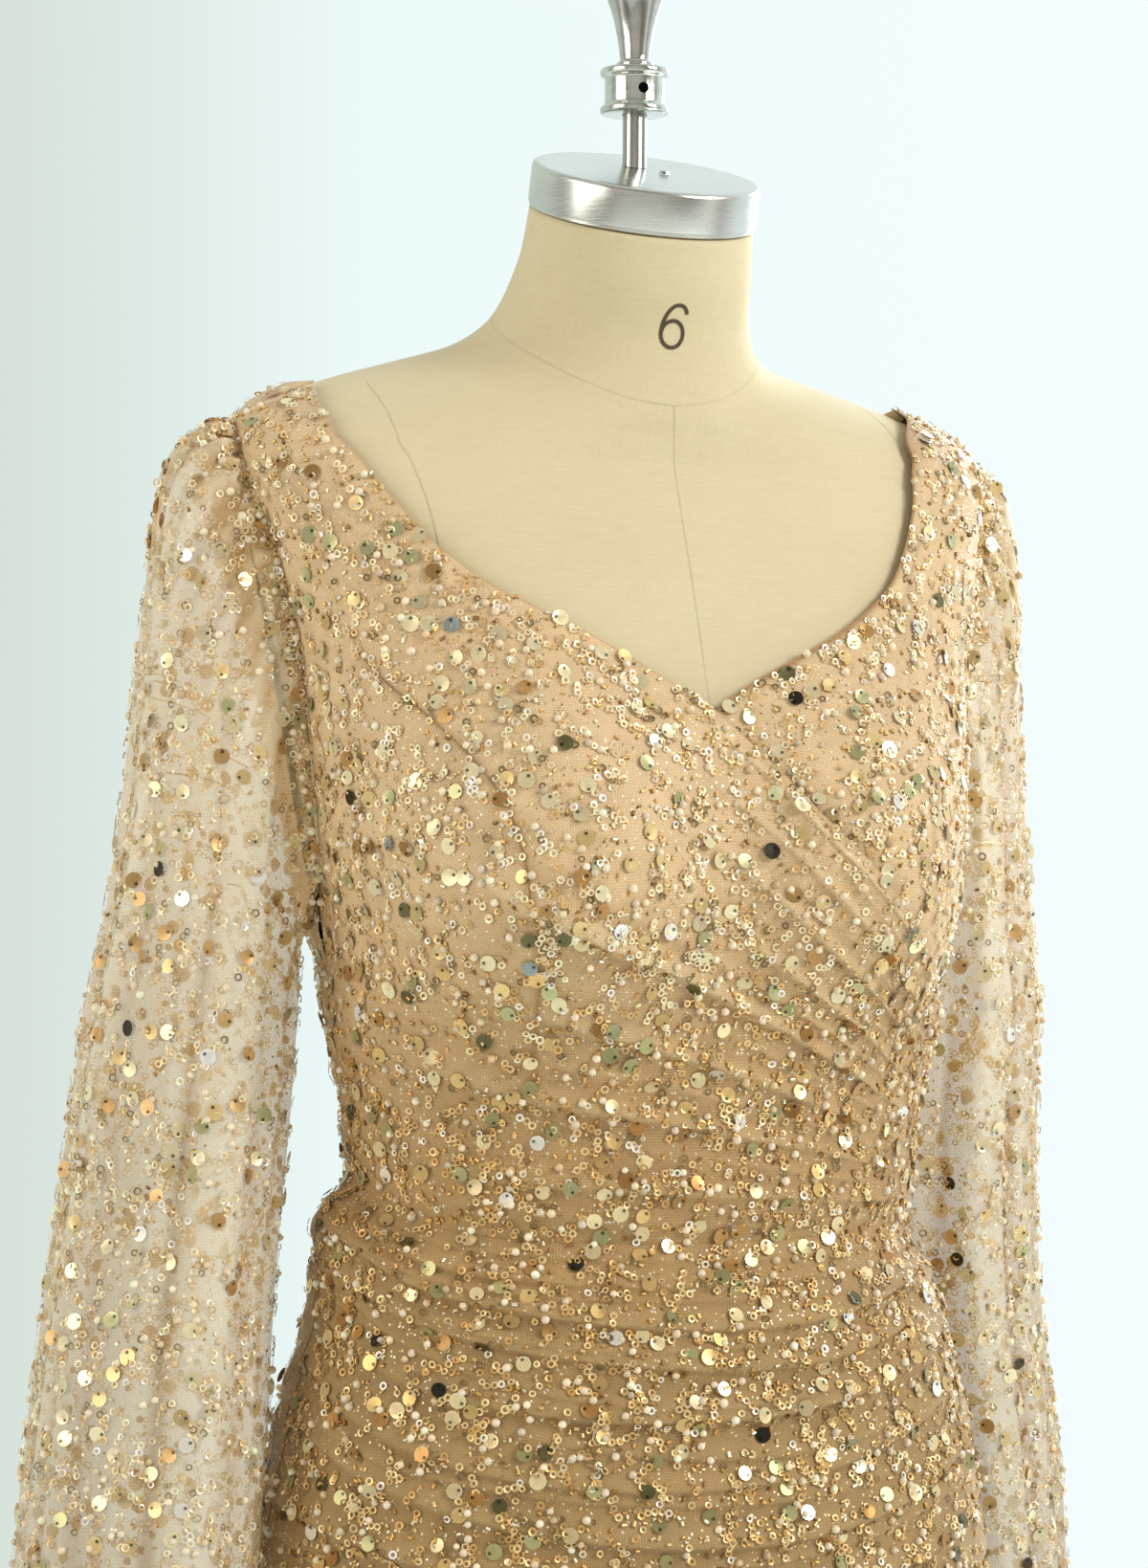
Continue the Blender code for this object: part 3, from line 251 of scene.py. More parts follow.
# Sewn and printed lines: half-width, and how far each stands off what it lies on.
LINEN_SEAM = (0.00022, 0.00012)
DART_LINE = (0.00032, 0.0006)
PANEL_LINE = (0.0005, 0.0005)
NECK_LINE = (0.0006, 0.0006)
NUMERAL_LINE = (0.00092, 0.00025)

# ---- the printed size: a plain 6 -----------------------------------------------------------
NUMERAL_WIDTH = 12.9       # degrees
NUMERAL_HEIGHT = 0.0214
NUMERAL_FOOT = 0.4236
# Its three arcs, drawn as one stroke, in shares of the figure's width and height: middle
# across and up, half-width, half-height, first and last angle, and points.
SIX = ((0.62, 0.77, 0.335, 0.202, 0.0, 90.0, 20), (0.62, 0.36, 0.565, 0.612, 90.0, 180.0, 30),
       (0.4725, 0.326, 0.4175, 0.291, 180.0, 532.0, 80))

# ---- hardware, with its profiles as radius and height -------------------------------------
CAP_RADIUS = 0.0545
CAP_DEPTH = 0.0215
CAP_ROLL = 0.0026
CAP_STEP = 0.0007
ROD_RADIUS = 0.0055        # a profile that starts outside the rod is left hollow
COLLAR_LOW = 0.5225
COLLAR_HIGH = 0.5445
COLLAR_PROFILE = (
    (0.0061, 0.0220), (0.0150, 0.0220), (0.0155, 0.0219), (0.0162, 0.0214), (0.0165, 0.0207),
    (0.0165, 0.0193), (0.0162, 0.0186), (0.0155, 0.0180), (0.0148, 0.0176), (0.0144, 0.0170),
    (0.0143, 0.0164), (0.0143, 0.0056), (0.0144, 0.0050), (0.0148, 0.0044), (0.0155, 0.0040),
    (0.0162, 0.0034), (0.0165, 0.0027), (0.0165, 0.0013), (0.0162, 0.0006), (0.0155, 0.0001),
    (0.0150, 0.0), (0.0061, 0.0),
)
# The collar's screw hole: degrees round to the wearer's left, height above the foot, radius,
# and how far out the drill starts.
COLLAR_HOLE = {"heading": -5.0, "height": 0.011, "radius": 0.0026, "out": 0.0150}
FINIAL_PROFILE = (
    (0.0010, 0.05898), (0.0040, 0.0587), (0.0080, 0.0576), (0.0115, 0.0555), (0.0138, 0.0530),
    (0.0154, 0.0498), (0.0162, 0.0460), (0.0160, 0.0420), (0.0151, 0.0376), (0.0133, 0.0325),
    (0.0117, 0.0280), (0.0104, 0.0235), (0.0093, 0.0185), (0.0084, 0.0140), (0.0077, 0.0098),
    (0.0073, 0.0060), (0.0071, 0.0040), (0.0073, 0.0032), (0.0080, 0.0027), (0.0086, 0.0024),
    (0.0088, 0.0019), (0.0088, 0.0004), (0.0085, 0.0001), (0.0010, 0.0001),
)


# ---- surfaces ----------------------------------------------------------------------------
def unit(vectors):
    """Vectors of length 1."""
    return vectors / np.maximum(np.linalg.norm(vectors, axis=-1, keepdims=True), 1e-9)


def hermite(t, start, leave, end, arrive, span=1.0):
    """A curve between two points that leaves and arrives in given directions."""
    return ((2 * t**3 - 3 * t**2 + 1) * start + (t**3 - 2 * t**2 + t) * span * leave
            + (3 * t**2 - 2 * t**3) * end + (t**3 - t**2) * span * arrive)


def read_table(table, at):
    """Reads a table's columns at `at`, its first column, along curves that never overshoot."""
    rows = np.array(sorted(table), dtype=float)
    keys, values = rows[:, 0], rows[:, 1:]
    steps = np.diff(values, axis=0) / np.diff(keys)[:, None]
    before, after = steps[:-1], steps[1:]
    turning = before * after <= 0
    middle = np.where(turning, 0.0, 2 * before * after / np.where(turning, 1.0, before + after))
    slopes = np.vstack([steps[:1], middle, steps[-1:]])
    at = np.asarray(at, dtype=float)
    low = np.clip(np.searchsorted(keys, at, side="right") - 1, 0, len(keys) - 2)
    span = keys[low + 1] - keys[low]
    t = np.clip((at - keys[low]) / span, 0.0, 1.0)[..., None]
    return hermite(t, values[low], slopes[low], values[low + 1], slopes[low + 1], span[..., None])


def eased(low, high, value):
    """0 below `low`, 1 above `high`, smooth between."""
    t = np.clip((value - low) / (high - low), 0.0, 1.0)
    return t * t * (3 - 2 * t)


def section(angle, half_width, front, back, squareness):
    """A body section: x to the wearer's left, y to the back, round its centre."""
    across, along = np.sin(angle), np.cos(angle)
    reach = (np.abs(across)**squareness + np.abs(along)**squareness) ** (1 / squareness)
    depth = np.where(along > 0, front, back)
    return half_width * across / reach, -depth * along / reach


def form_point(degrees, height):
    """Points on the dress form's surface."""
    angle, height = np.broadcast_arrays(np.radians(degrees), np.asarray(height, float))
    row = read_table(FORM, height)
    centre_y, half_width, front, back, tilt, squareness = np.moveaxis(row, -1, 0)
    x, y = section(angle, half_width, front, back, squareness)
    y = y + centre_y
    facing = np.clip(np.cos(angle) / 0.4, 0.0, 1.0)
    facing = facing**2 * (3 - 2 * facing)
    reach = np.where(height > BUST["height"], BUST["up"], BUST["down"])
    swell = (np.exp(-((x - BUST["aside"]) / BUST["wide"])**2)
             + np.exp(-((x + BUST["aside"]) / BUST["wide"])**2))
    y = y - BUST["out"] * facing * swell * np.exp(-((height - BUST["height"]) / reach)**2)
    return np.stack([x, y, WAIST_Z + height + tilt * y], axis=-1)


def side_shares(degrees):
    """How far round to the wearer's left and to the right an angle lies, 0 to 1 each."""
    across = np.sin(np.radians(degrees))
    return np.maximum(across, 0.0), np.maximum(-across, 0.0)


def waist_line(degrees):
    """The waist seam: it dips at the centre front and climbs at the gathered right side."""
    turned = np.radians(degrees)
    dip = WAIST_DIP * np.maximum(np.cos(turned), 0.0) ** 2
    return WAIST_CLIMB * np.maximum(-np.sin(turned), 0.0) ** 12 - dip


def skirt_point(degrees, height):
    """Points on the skirt's surface, with its flutes below the hip."""
    angle, height = np.broadcast_arrays(np.radians(degrees), np.asarray(height, float))
    row = read_table(SKIRT, height)
    centre_y, half_width, front, back, squareness = np.moveaxis(row, -1, 0)
    x, y = section(angle, half_width, front, back, squareness)
    fall = np.clip((FLUTES_START - height) / (FLUTES_START - HEM_HEIGHT), 0.0, 1.0)
    flute = sum(depth * np.cos(count * angle + math.radians(turn)) for count, depth, turn in FLUTES)
    depth = waist_line(degrees) - height
    bunch = np.exp(-((height - BUNCH["height"]) / BUNCH["spread"]) ** 2) * eased(0.0, 0.02, depth)
    bunch = BUNCH["out"] * bunch * np.maximum(-np.sin(angle), 0.0) ** 4
    grow = 1.0 + (fall**1.5 * flute + bunch) / np.hypot(x, y)
    return np.stack([x * grow, centre_y + y * grow, WAIST_Z + height], axis=-1)


def moved_out(surface, degrees, height, distance):
    """Points of a surface moved out along its normal."""
    step_angle, step_height = 0.5, 0.001
    around = surface(degrees + step_angle, height) - surface(degrees - step_angle, height)
    upward = surface(degrees, height + step_height) - surface(degrees, height - step_height)
    normal = np.cross(around, upward)
    normal /= np.linalg.norm(normal, axis=-1, keepdims=True)
    return surface(degrees, height) + normal * np.asarray(distance)[..., None]


def turn_for(surface, degrees, height, distance):
    """The angle that moves a surface's point sideways by a distance."""
    step = surface(degrees + 0.5, height) - surface(degrees - 0.5, height)
    return distance / np.linalg.norm(step, axis=-1)


def short_way(degrees):
    """A difference of angles, taken the short way round."""
    return (degrees + 180.0) % 360.0 - 180.0


def pull_in(surface, degrees, height, edges):
    """A seam's gap, as an angle, taken off a panel's two upright edges."""
    slack = turn_for(surface, degrees, height, SEAM)
    moved = degrees.copy()
    moved[:, 0] += edges[0] * slack[:, 0]
    moved[:, -1] += edges[1] * slack[:, -1]
    return moved


def crease(away, half_width, under=0.45):
    """A soft ridge whose lower side is the steeper one."""
    return np.exp(-np.where(away > 0, away / half_width, away / (under * half_width)) ** 2)


def stitch_line(turned, up, around, path, side, width):
    """1 along a seam given by angles and heights, on the left (1) or right (-1)."""
    path = np.array(sorted((height, angle) for angle, height in path))
    at = np.interp(up, path[:, 0], path[:, 1])
    inside = (up > path[0, 0]) & (up < path[-1, 0])
    lean = np.abs(np.gradient(at, axis=0) / np.maximum(np.abs(np.gradient(up, axis=0)), 1e-6)) * around
    return inside * np.exp(-((turned - side * at) * around / (width * np.sqrt(1.0 + lean**2))) ** 2)


def grid_normals(grid, tube, sign=1):
    """Unit normals at a grid's points."""
    across = np.gradient(grid, axis=1)
    if tube:
        across = np.roll(grid, -1, axis=1) - np.roll(grid, 1, axis=1)
    normal = np.cross(across, np.gradient(grid, axis=0)) * sign
    return normal / np.linalg.norm(normal, axis=-1, keepdims=True)


def relief(rise, grid, reach, full):
    """0 in the valleys, 1 on the crests and 0.5 on plain cloth, for shading a sheet's folds."""
    step = np.median(np.linalg.norm(np.diff(grid, axis=0), axis=-1))
    window = max(int(reach / step), 1)
    padded = np.pad(rise, ((window, window), (0, 0)), mode="edge")
    total = np.cumsum(np.pad(padded, ((1, 0), (0, 0))), axis=0)
    average = (total[2 * window + 1:] - total[:-2 * window - 1]) / (2 * window + 1)
    return np.clip(0.5 + (rise - average) / full, 0.0, 1.0)


def seen_from_outside(turned, *fields):
    """Reverses a panel's columns where it was laid out from its other side."""
    return [field[:, ::-1] for field in fields] if turned else fields


# ---- panels -------------------------------------------------------------------------------
def side_line(v):
    """Side seam, armhole and shoulder, as straight runs between SIDE's rows."""
    along, forward, height = np.array(SIDE).T
    return np.interp(v, along, forward), np.interp(v, along, height)


def coons(foot, top, start, end, v):
    """Fills a four-sided outline; the bends of its upright edges die out inside."""
    u = np.linspace(0.0, 1.0, len(foot))[None, :, None]
    v = v[:, None, None]
    ruled = (1 - v) * foot[None] + v * top[None]
    return (ruled + (1 - u) ** EDGE_REACH * (start[:, None] - ruled[:, :1])
            + u ** EDGE_REACH * (end[:, None] - ruled[:, -1:]))


def panel_outline(first, last, turn, edge, columns, v):
    """Angles and heights of a bodice panel, between its waist, neckline and sides."""
    u = np.linspace(0.0, 1.0, columns)
    foot_angles = first + (last - first) * u
    foot = np.stack([foot_angles, waist_line(turn * foot_angles) + WAIST_GAP], axis=-1)
    top = read_table(edge, u)
    forward, side_height = side_line(v)
    start = np.stack([first + forward, side_height], axis=-1)
    start[:, 1] += foot[0, 1] * (1.0 - eased(0.0, SIDE[ARMHOLE_LOW][0], v))
    end = np.stack([np.full(len(v), last), foot[-1, 1] + (top[-1, 1] - foot[-1, 1]) * v], axis=-1)
    grid = coons(foot, top, start, end, v)
    return turn * grid[..., 0], grid[..., 1], u


def pleat_rise(u, v, room):
    """How far the pleats lift the crossed front at each of its points."""
    u, v = u[None, :], v[:, None]
    rise = np.zeros((v.shape[0], u.shape[1]))
    for place, height, spread, start, end in PLEATS:
        wander = PLEAT_WANDER * np.sin(5.0 * u + 40.0 * place)
        along = eased(start, start + 0.35, u) * (1.0 - eased(end - 0.25, end, u))
        fold = crease(v - place - wander * (1 - u), spread, PLEAT_STEEP)
        rise = rise + PLEAT_DEPTH * height * along * fold
    return rise * np.minimum(room / PLEAT_ROOM, 1.0) ** 1.4


def above_under_front(degrees, height):
    """1 where only the form lies under the upper front, 0 where the under front does."""
    far_side = np.array(FRONT_EDGE[8:])
    edge = np.interp(np.maximum(-degrees, 0.0), far_side[:, 1], far_side[:, 2])
    return eased(0.006, 0.045, height - edge) * (degrees < 0.0)


def front_sheet(side, columns, rows, pleated):
    """The points of a crossed front that starts at `side`, -1 for the wearer's right."""
    v = np.linspace(0.0, 1.0, rows)
    degrees, height, u = panel_outline(-90.0, 90.0, -side, FRONT_EDGES[side], columns, v)
    degrees = pull_in(form_point, degrees, height, (-side, side))
    fold = pleat_rise(u, v, room=(height[-1] - height[0])[None, :])
    above_seam = eased(0.0, WAIST_EASE, height - waist_line(degrees))
    if pleated:
        fold = fold * (PLEATS_AT_WAIST + (1.0 - PLEATS_AT_WAIST) * above_seam)
        apart = (CLOTH + LAYER_GAP) * (1.0 - above_under_front(degrees, height))
        apart = apart * (LAYERS_AT_WAIST + (1.0 - LAYERS_AT_WAIST) * above_seam)
    else:
        fold = UNDER_PLEATS * fold * above_seam
        apart = 0.0
    grid = moved_out(form_point, degrees, height, FORM_GAP + SHELL + apart + fold)
    around = 1.0 / turn_for(form_point, degrees, height, 1.0)
    darts = [stitch_line(degrees, height, around, DART, k, DART_WIDTH) for k in (-1, 1)]
    seam = DART_TONE * np.maximum(*darts)
    armhole_start, armhole_full = SIDE[ARMHOLE_LOW][0], 0.5
    seam[:, :1] = EDGE_TONE * eased(armhole_start, armhole_full, v)[:, None]
    seam[-1] = EDGE_TONE
    if side > 0:
        seam[-2:] = np.array(BOUND_TONES)[:, None]
    grid, fold, seam = seen_from_outside(side > 0, grid, fold, seam)
    return grid, {"fold": relief(fold, grid, 0.014, 0.005), "seam": seam}


def back_sheet(side, columns, rows):
    """The points of a back panel, from its side seam to the zip at the centre back."""
    v = np.linspace(0.0, 1.0, rows)
    degrees, height, u = panel_outline(90.0, 180.0, side, BACK_EDGE, columns, v)
    degrees = pull_in(form_point, degrees, height, (side, -side))
    # Soft stress folds run in from the side seam at the waist, and the zip's edge stands up.
    reach = (1.0 - eased(0.0, 0.75, u))[None, :]
    fold = 0.0
    for place, rise in BACK_FOLDS:
        fold = fold + rise * reach * crease(v[:, None] - place - 0.05 * u[None, :], BACK_FOLD_WIDTH)
    zip_edge = ZIP_EDGE * np.exp(-((1.0 - u[None, :]) * BACK_WIDTH / ZIP_EDGE_WIDTH) ** 2)
    grid = moved_out(form_point, degrees, height, FORM_GAP + SHELL + fold + zip_edge)
    grid, fold = seen_from_outside(side < 0, grid, fold)
    return grid, {"fold": relief(fold, grid, 0.016, 0.004), "seam": np.zeros(fold.shape)}


def drape_rise(degrees, depth):
    """How far the skirt's crescent folds stand out, and the painted shadow lines under them."""
    left, right = side_shares(degrees)
    rise = np.zeros(np.broadcast(degrees, depth).shape)
    line = np.zeros(rise.shape)
    for k, (place, amount, spread, at_right, at_left, first, last) in enumerate(DRAPES):
        strength = 1.0 + (at_left - 1.0) * left**2 + (at_right - 1.0) * right**2
        strength = strength * eased(first - DRAPE_FADE, first, degrees)
        strength = strength * (1.0 - eased(last, last + DRAPE_FADE, degrees))
        wander = DRAPE_WANDER * np.sin(np.radians(degrees) * 2.0 + 2.4 * k) * min(1.0, place / 0.05)
        away = place + wander - depth
        rise = rise + DRAPE_DEPTH * amount * strength * crease(away, 1.25 * spread, DRAPE_STEEP)
        # A painted shadow line just under each fold.
        under = min(amount / 0.006, 1.0) * strength * np.exp(-((away + 0.0012) / DRAPE_LINE) ** 2)
        line = np.maximum(line, under)
    return rise, np.clip(line, 0.0, 1.0)


def gentle(degrees):
    """The front's folds run on round the side seams and die out before the centre back."""
    return 1.0 - eased(88.0, 150.0, np.abs(degrees))


def skirt_depths(fine, coarse, plain):
    """Depths of a skirt sheet's rows: close on the upper folds, wider below them."""
    middle_end = DRAPE_END - 0.004
    low = np.linspace(middle_end, -HEM_HEIGHT, plain + 1)[1:]
    middle = np.linspace(DRAPES_CLOSE, middle_end, coarse + 1)[1:]
    return np.concatenate([np.linspace(0.0, DRAPES_CLOSE, fine), middle, low])[::-1]


def skirt_sheet(first, last, columns, rows):
    """The points of a skirt panel between two angles."""
    degrees = np.linspace(first, last, columns)[None, :]
    depth = skirt_depths(*rows)[:, None]
    left, right = side_shares(degrees)
    swing = eased(0.0, 0.075, depth) * (1.0 - eased(0.20, DRAPE_END + 0.10, depth))
    lift = swing * (DRAPE_LIFT_LEFT * left**2.2 + DRAPE_LIFT_RIGHT * right**2.2) * gentle(degrees)
    height = waist_line(degrees) * (1.0 - eased(0.0, 0.3, depth)) - depth + lift - WAIST_GAP
    around = np.where(np.abs(degrees) > 90.0, np.sign(degrees) * 90.0, degrees)
    fold, line = drape_rise(around, depth)
    fold, line = fold * gentle(degrees), 0.6 * line * gentle(degrees)
    turned = np.radians(degrees)
    fall = eased(DRAPE_END - 0.10, -HEM_HEIGHT, depth)
    (broad, broad_depth), (fine, fine_depth) = RIPPLES
    ripple = fall * (broad_depth * np.sin(broad * turned + 0.8 + 0.9 * np.sin(3 * turned))
                     + fine_depth * np.sin(fine * turned + 2.2 + 1.5 * depth))
    degrees = pull_in(skirt_point, degrees + 0.0 * height, height, (1.0, -1.0))
    grid = moved_out(skirt_point, degrees, height, SHELL + fold + ripple)
    # The fold field is painted shade in the valleys and painted highlight on the crests of the folds and
    # flutes; the seam field holds only the painted shadow lines under the folds.
    shading = np.clip(relief(fold, grid, 0.011, 0.0090) + ripple / 0.022, 0.0, 1.0)
    return grid, {"fold": shading, "seam": line}


def armhole_loop(side, count):
    """The armhole's seam line: from the shoulder down the front, and up the back."""
    rows = np.array(SIDE)[ARMHOLE_LOW:ARMHOLE_TOP + 1, 1:]
    down = rows[::-1]
    loop = np.vstack([down, rows[1:]])
    half = len(down) - 1
    index = np.arange(count) * (2 * half) / count
    spots = np.stack([np.interp(index, np.arange(2 * half + 1), loop[:, k]) for k in (0, 1)], axis=-1)
    facing = np.sin(index * math.pi / half)
    upward = np.cos(index * math.pi / half)
    inset = turn_for(form_point, 90.0 - spots[:, 0], spots[:, 1], ARMHOLE_GAP)
    forward = np.sign(facing) * np.maximum(spots[:, 0] - inset, 0.0)
    height = spots[:, 1].copy()
    height -= ARMHOLE_GAP * eased(0.75, 1.0, upward)
    height += ARMHOLE_GAP * eased(0.75, 1.0, -upward)
    ease = FORM_GAP + (0.5 - 0.5 * upward) * (CLOTH + UNDERARM_EASE)
    return moved_out(form_point, side * (90.0 - forward), height, ease + SHELL), index * 180.0 / half


def hanging_tube(side, table, turned, fold, rows):
    """The sleeve below its head: level rings that hang down the arm, open at the end."""
    heights = np.linspace(table[0][0], table[-1][0], rows)
    out, centre_y, half_width, half_depth = read_table(table, heights).T[:, :, None]
    x = out + (half_width + fold) * np.cos(turned)
    y = centre_y - (half_depth + fold) * np.sin(turned)
    return np.stack([side * x, y, WAIST_Z + heights[:, None] + 0.0 * x], axis=-1)


def sleeve_head(side, start, end, upper, rows):
    """Curves that swing out of the armhole and down into the hanging tube."""
    start = start + HEAD_LAP[side] * upper**6 * np.array([[-0.7 * side, 0.0, 1.0]])
    reach = np.linalg.norm(end - start, axis=-1, keepdims=True)
    outward = UNDERARM_SPREAD + (HEAD_SPREAD[side] - UNDERARM_SPREAD) * upper
    sideways, down = np.array([[side, 0.0, 0.0]]), np.array([[0.0, 0.0, -1.0]])
    leave = reach * (outward * sideways + 1.1 * (1.0 - upper) * down)
    arrive = reach * (HEAD_SWING[side] * upper * sideways + (1.0 + 0.3 * upper) * down)
    t = np.linspace(0.0, 1.0, rows + 1)[:-1, None, None]
    return hermite(t, start, leave, end, arrive)


def sleeve_crease_rise(turns, height):
    """How far the long creases raise or sink the sleeve at each of its points."""
    rise = np.zeros(height.shape)
    for at, drift, amount, spread, low, high in SLEEVE_CREASES:
        away = short_way(turns[None, :] - at - drift * (height + 0.23) / 0.5)
        full = eased(low - 0.06, low, height) * (1.0 - eased(high, high + 0.08, height))
        rise = rise + amount * full * np.exp(-(away / spread) ** 2)
    return rise


def sleeve_sheet(side, table, count=96, head_rows=40, rows=52):
    """A set-in sleeve: a gathered head that swings out of the armhole, then a hanging tube."""
    start, turns = armhole_loop(side, count)
    turned = np.radians(turns)
    upper = (0.5 + 0.5 * np.cos(turned))[:, None]
    fold = np.zeros(count)
    for at, amount, spread in SLEEVE_FOLDS:
        fold = fold + amount * np.exp(-(short_way(turns - at) / spread) ** 2)
    fold = fold - fold.mean() + SHELL
    hanging = hanging_tube(side, table, turned, fold, rows)
    head = sleeve_head(side, start, hanging[0], upper, head_rows)
    grid = np.concatenate([head, hanging])[::-1]
    # Creases, and the head's gathers and puff, moved out along the sleeve's own normals.
    along = np.cumsum(np.linalg.norm(np.diff(grid[::-1], axis=0, prepend=grid[-1:]), axis=-1), axis=0)[::-1]
    rise = sleeve_crease_rise(turns, grid[..., 2] - WAIST_Z) * eased(0.0, 0.05, along)
    crown = upper[None, :, 0]
    gather = eased(0.0, 0.007, along) * (1.0 - eased(0.03, 0.095, along)) * crown
    waves = np.sin(turned * HEAD_GATHERS + 1.2 * np.sin(turned * 5))[None, :]
    rise = rise + GATHER_DEPTH * gather * waves
    puff = PUFF_DEPTH * eased(0.0, 0.015, along) * crown**2
    puff = puff + CROWN_DEPTH * eased(0.0, 0.006, along) * crown**8
    puff = HEAD_PUFF[side] * puff * (1.0 - eased(0.022, 0.085, along))
    grid = grid + grid_normals(grid, True, -side) * (rise + puff)[..., None]
    # The fold field, for painted shade in the valleys and painted highlight on the crests.
    fold = np.clip(0.5 + (rise + 0.45 * fold[None, :]) / 0.0055, 0.0, 1.0)
    at_seam = 1.0 - eased(0.001, 0.020, along)
    grid, fold, at_seam = seen_from_outside(side > 0, grid, fold, at_seam)
    return grid, {"fold": fold, "seam": at_seam}


# ---- meshes ---------------------------------------------------------------------------------
def lengths(grid, tube):
    """Arc lengths across and up a grid, in metres, from its middle column and its foot."""
    steps = np.linalg.norm(np.diff(grid, axis=1), axis=-1)
    across = np.concatenate([np.zeros((len(grid), 1)), np.cumsum(steps, axis=1)], axis=1)
    if not tube:
        across = across - across[:, -1:] / 2
    steps = np.linalg.norm(np.diff(grid, axis=0), axis=-1)
    up = np.concatenate([np.zeros((1, grid.shape[1])), np.cumsum(steps, axis=0)], axis=0)
    return across, up


def past_edge(grid, fields, at_top, shape, sizes):
    """Adds rows past a sheet's lower or upper edge; `shape` puts them out from its edge row."""
    way = -1 if at_top else 1
    rows = grid[::way]
    outward = grid_normals(rows[:3], False, way)[0]
    extra = shape(rows[0], outward, unit(rows[0] - rows[2]), *sizes)
    longer = {}
    for label, field in fields.items():
        field = field[::way]
        longer[label] = np.concatenate([np.repeat(field[:1], len(extra), axis=0), field])[::way]
    return np.concatenate([extra, rows])[::way], longer


def rolled_hem(edge, outward, along, depth):
    """A narrow hem, rolled round to the inside."""
    rows = [edge - outward * HEM_THICK - along * depth]
    for turn in (100.0, 60.0, 20.0):
        angle = math.radians(turn)
        rows.append(edge + along * 0.5 * HEM_THICK * math.sin(angle + 0.35)
                    - outward * HEM_THICK * (0.5 - 0.5 * math.cos(angle)))
    return rows


def allowance(edge, outward, along, beyond, inward):
    """Carries an edge on and inward, as a seam's allowance does, so that no gap shows."""
    return [edge + along * beyond * s - outward * inward * s**0.5 for s in (1.0, 0.4)]


def quads(grid):
    """The corners of a grid's cells, each run round from its lower left."""
    return np.stack([grid[:-1, :-1], grid[:-1, 1:], grid[1:, 1:], grid[1:, :-1]], axis=2)


def placed(name, mesh, finish):
    """An object that rides on the dress form, in one finish."""
    made = bpy.data.objects.new(name, mesh)
    made.data.materials.append(finish)
    bpy.context.scene.collection.objects.link(made)
    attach(made, BODY)
    return made


def sheet_object(name, grid, fields, finish, tube=False):
    """A thin sheet of cloth with a cloth map in metres and its fold and seam attributes."""
    index = np.arange(grid.shape[0] * grid.shape[1]).reshape(grid.shape[:2])
    closed = grid
    if tube:
        # The map runs on past the last column, so that no face runs back over it.
        closed = np.concatenate([grid, grid[:, :1]], axis=1)
        index = np.concatenate([index, index[:, :1]], axis=1)
    mesh = bpy.data.meshes.new(name)
    mesh.from_pydata(grid.reshape(-1, 3).tolist(), [], quads(index).reshape(-1, 4).tolist())
    cloth_map = quads(np.stack(lengths(closed, tube), axis=-1))
    layer = mesh.uv_layers.new(name="cloth")
    layer.uv.foreach_set("vector", cloth_map.reshape(-1).astype(np.float32))
    for label, field in fields.items():
        values = mesh.attributes.new(label, "FLOAT", "POINT")
        values.data.foreach_set("value", np.asarray(field, dtype=np.float32).reshape(-1))
    mesh.shade_smooth()
    mesh.validate()
    return placed(name, mesh, finish)


def sewn_lines(name, runs, half_width, finish):
    """Thin sewn lines; each run is its points and the directions out of the cloth there."""
    points, faces = [], []
    for middle, outward in runs:
        across = half_width * unit(np.cross(np.gradient(middle, axis=0), outward))
        first, count = sum(map(len, points)), len(middle)
        points += [middle - across, middle + across]
        faces += [(k, k + 1, k + count + 1, k + count) for k in range(first, first + count - 1)]
    mesh = bpy.data.meshes.new(name)
    mesh.from_pydata(np.concatenate(points).tolist(), [], faces)
    return placed(name, mesh, finish)


# ---- beading ----------------------------------------------------------------------------------
# A sequin's hole, and the bead in it, as shares of the sequin's radius.
HOLE_RADIUS = 0.17
KNOT_RADIUS = 0.21


def circle(count, radius=1.0, aside=0.0, height=0.0, shift=0.0):
    """Points evenly round a circle."""
    turn = np.arange(count) * 2 * math.pi / count + shift
    return np.stack([radius * np.cos(turn) + aside, radius * np.sin(turn), np.full(count, height)], axis=-1)


def next_round(count):
    """The numbers of a ring's points, and of the points after them."""
    first = np.arange(count)
    return first, (first + 1) % count


def disc_with_hole(outer, inner, offset, cup):
    """A sequin: a shallow cup with an off-centre hole, and the seed bead that holds it, drawn as a dark copy
    of its tint that is partly painted shade in the hole.
    """
    rim = circle(outer)
    hole = circle(inner, HOLE_RADIUS, offset, -cup)
    knot = circle(inner, KNOT_RADIUS, offset, 0.02)
    faces = []
    j = 0
    for i in range(outer):
        if j < inner and (i + 0.5) * inner / outer > j + 0.5:
            faces.append((outer + j, i, outer + (j + 1) % inner))
            j += 1
        faces.append((outer + j % inner, i, (i + 1) % outer))
    while j < inner:
        faces.append((outer + j, 0, outer + (j + 1) % inner))
        j += 1
    faces += [(outer + inner, outer + inner + k, outer + inner + k + 1) for k in range(1, inner - 1)]
    # Tint shares: the hole's edge a little darker and the bead near black, partly painted shade in and round
    # the hole.
    shade = np.repeat((1.0, 0.9, 0.16), (outer, inner, inner))
    return np.vstack([rim, hole, knot]), np.array(faces), shade


def ring_shape(sides, inner, cup):
    """A small cup sequin: a ring with an open middle."""
    i, j = next_round(sides)
    faces = np.vstack([np.stack([i, j, sides + j], axis=-1), np.stack([i, sides + j, sides + i], axis=-1)])
    return np.vstack([circle(sides), circle(sides, inner, 0.0, -cup)]), faces, np.ones(2 * sides)


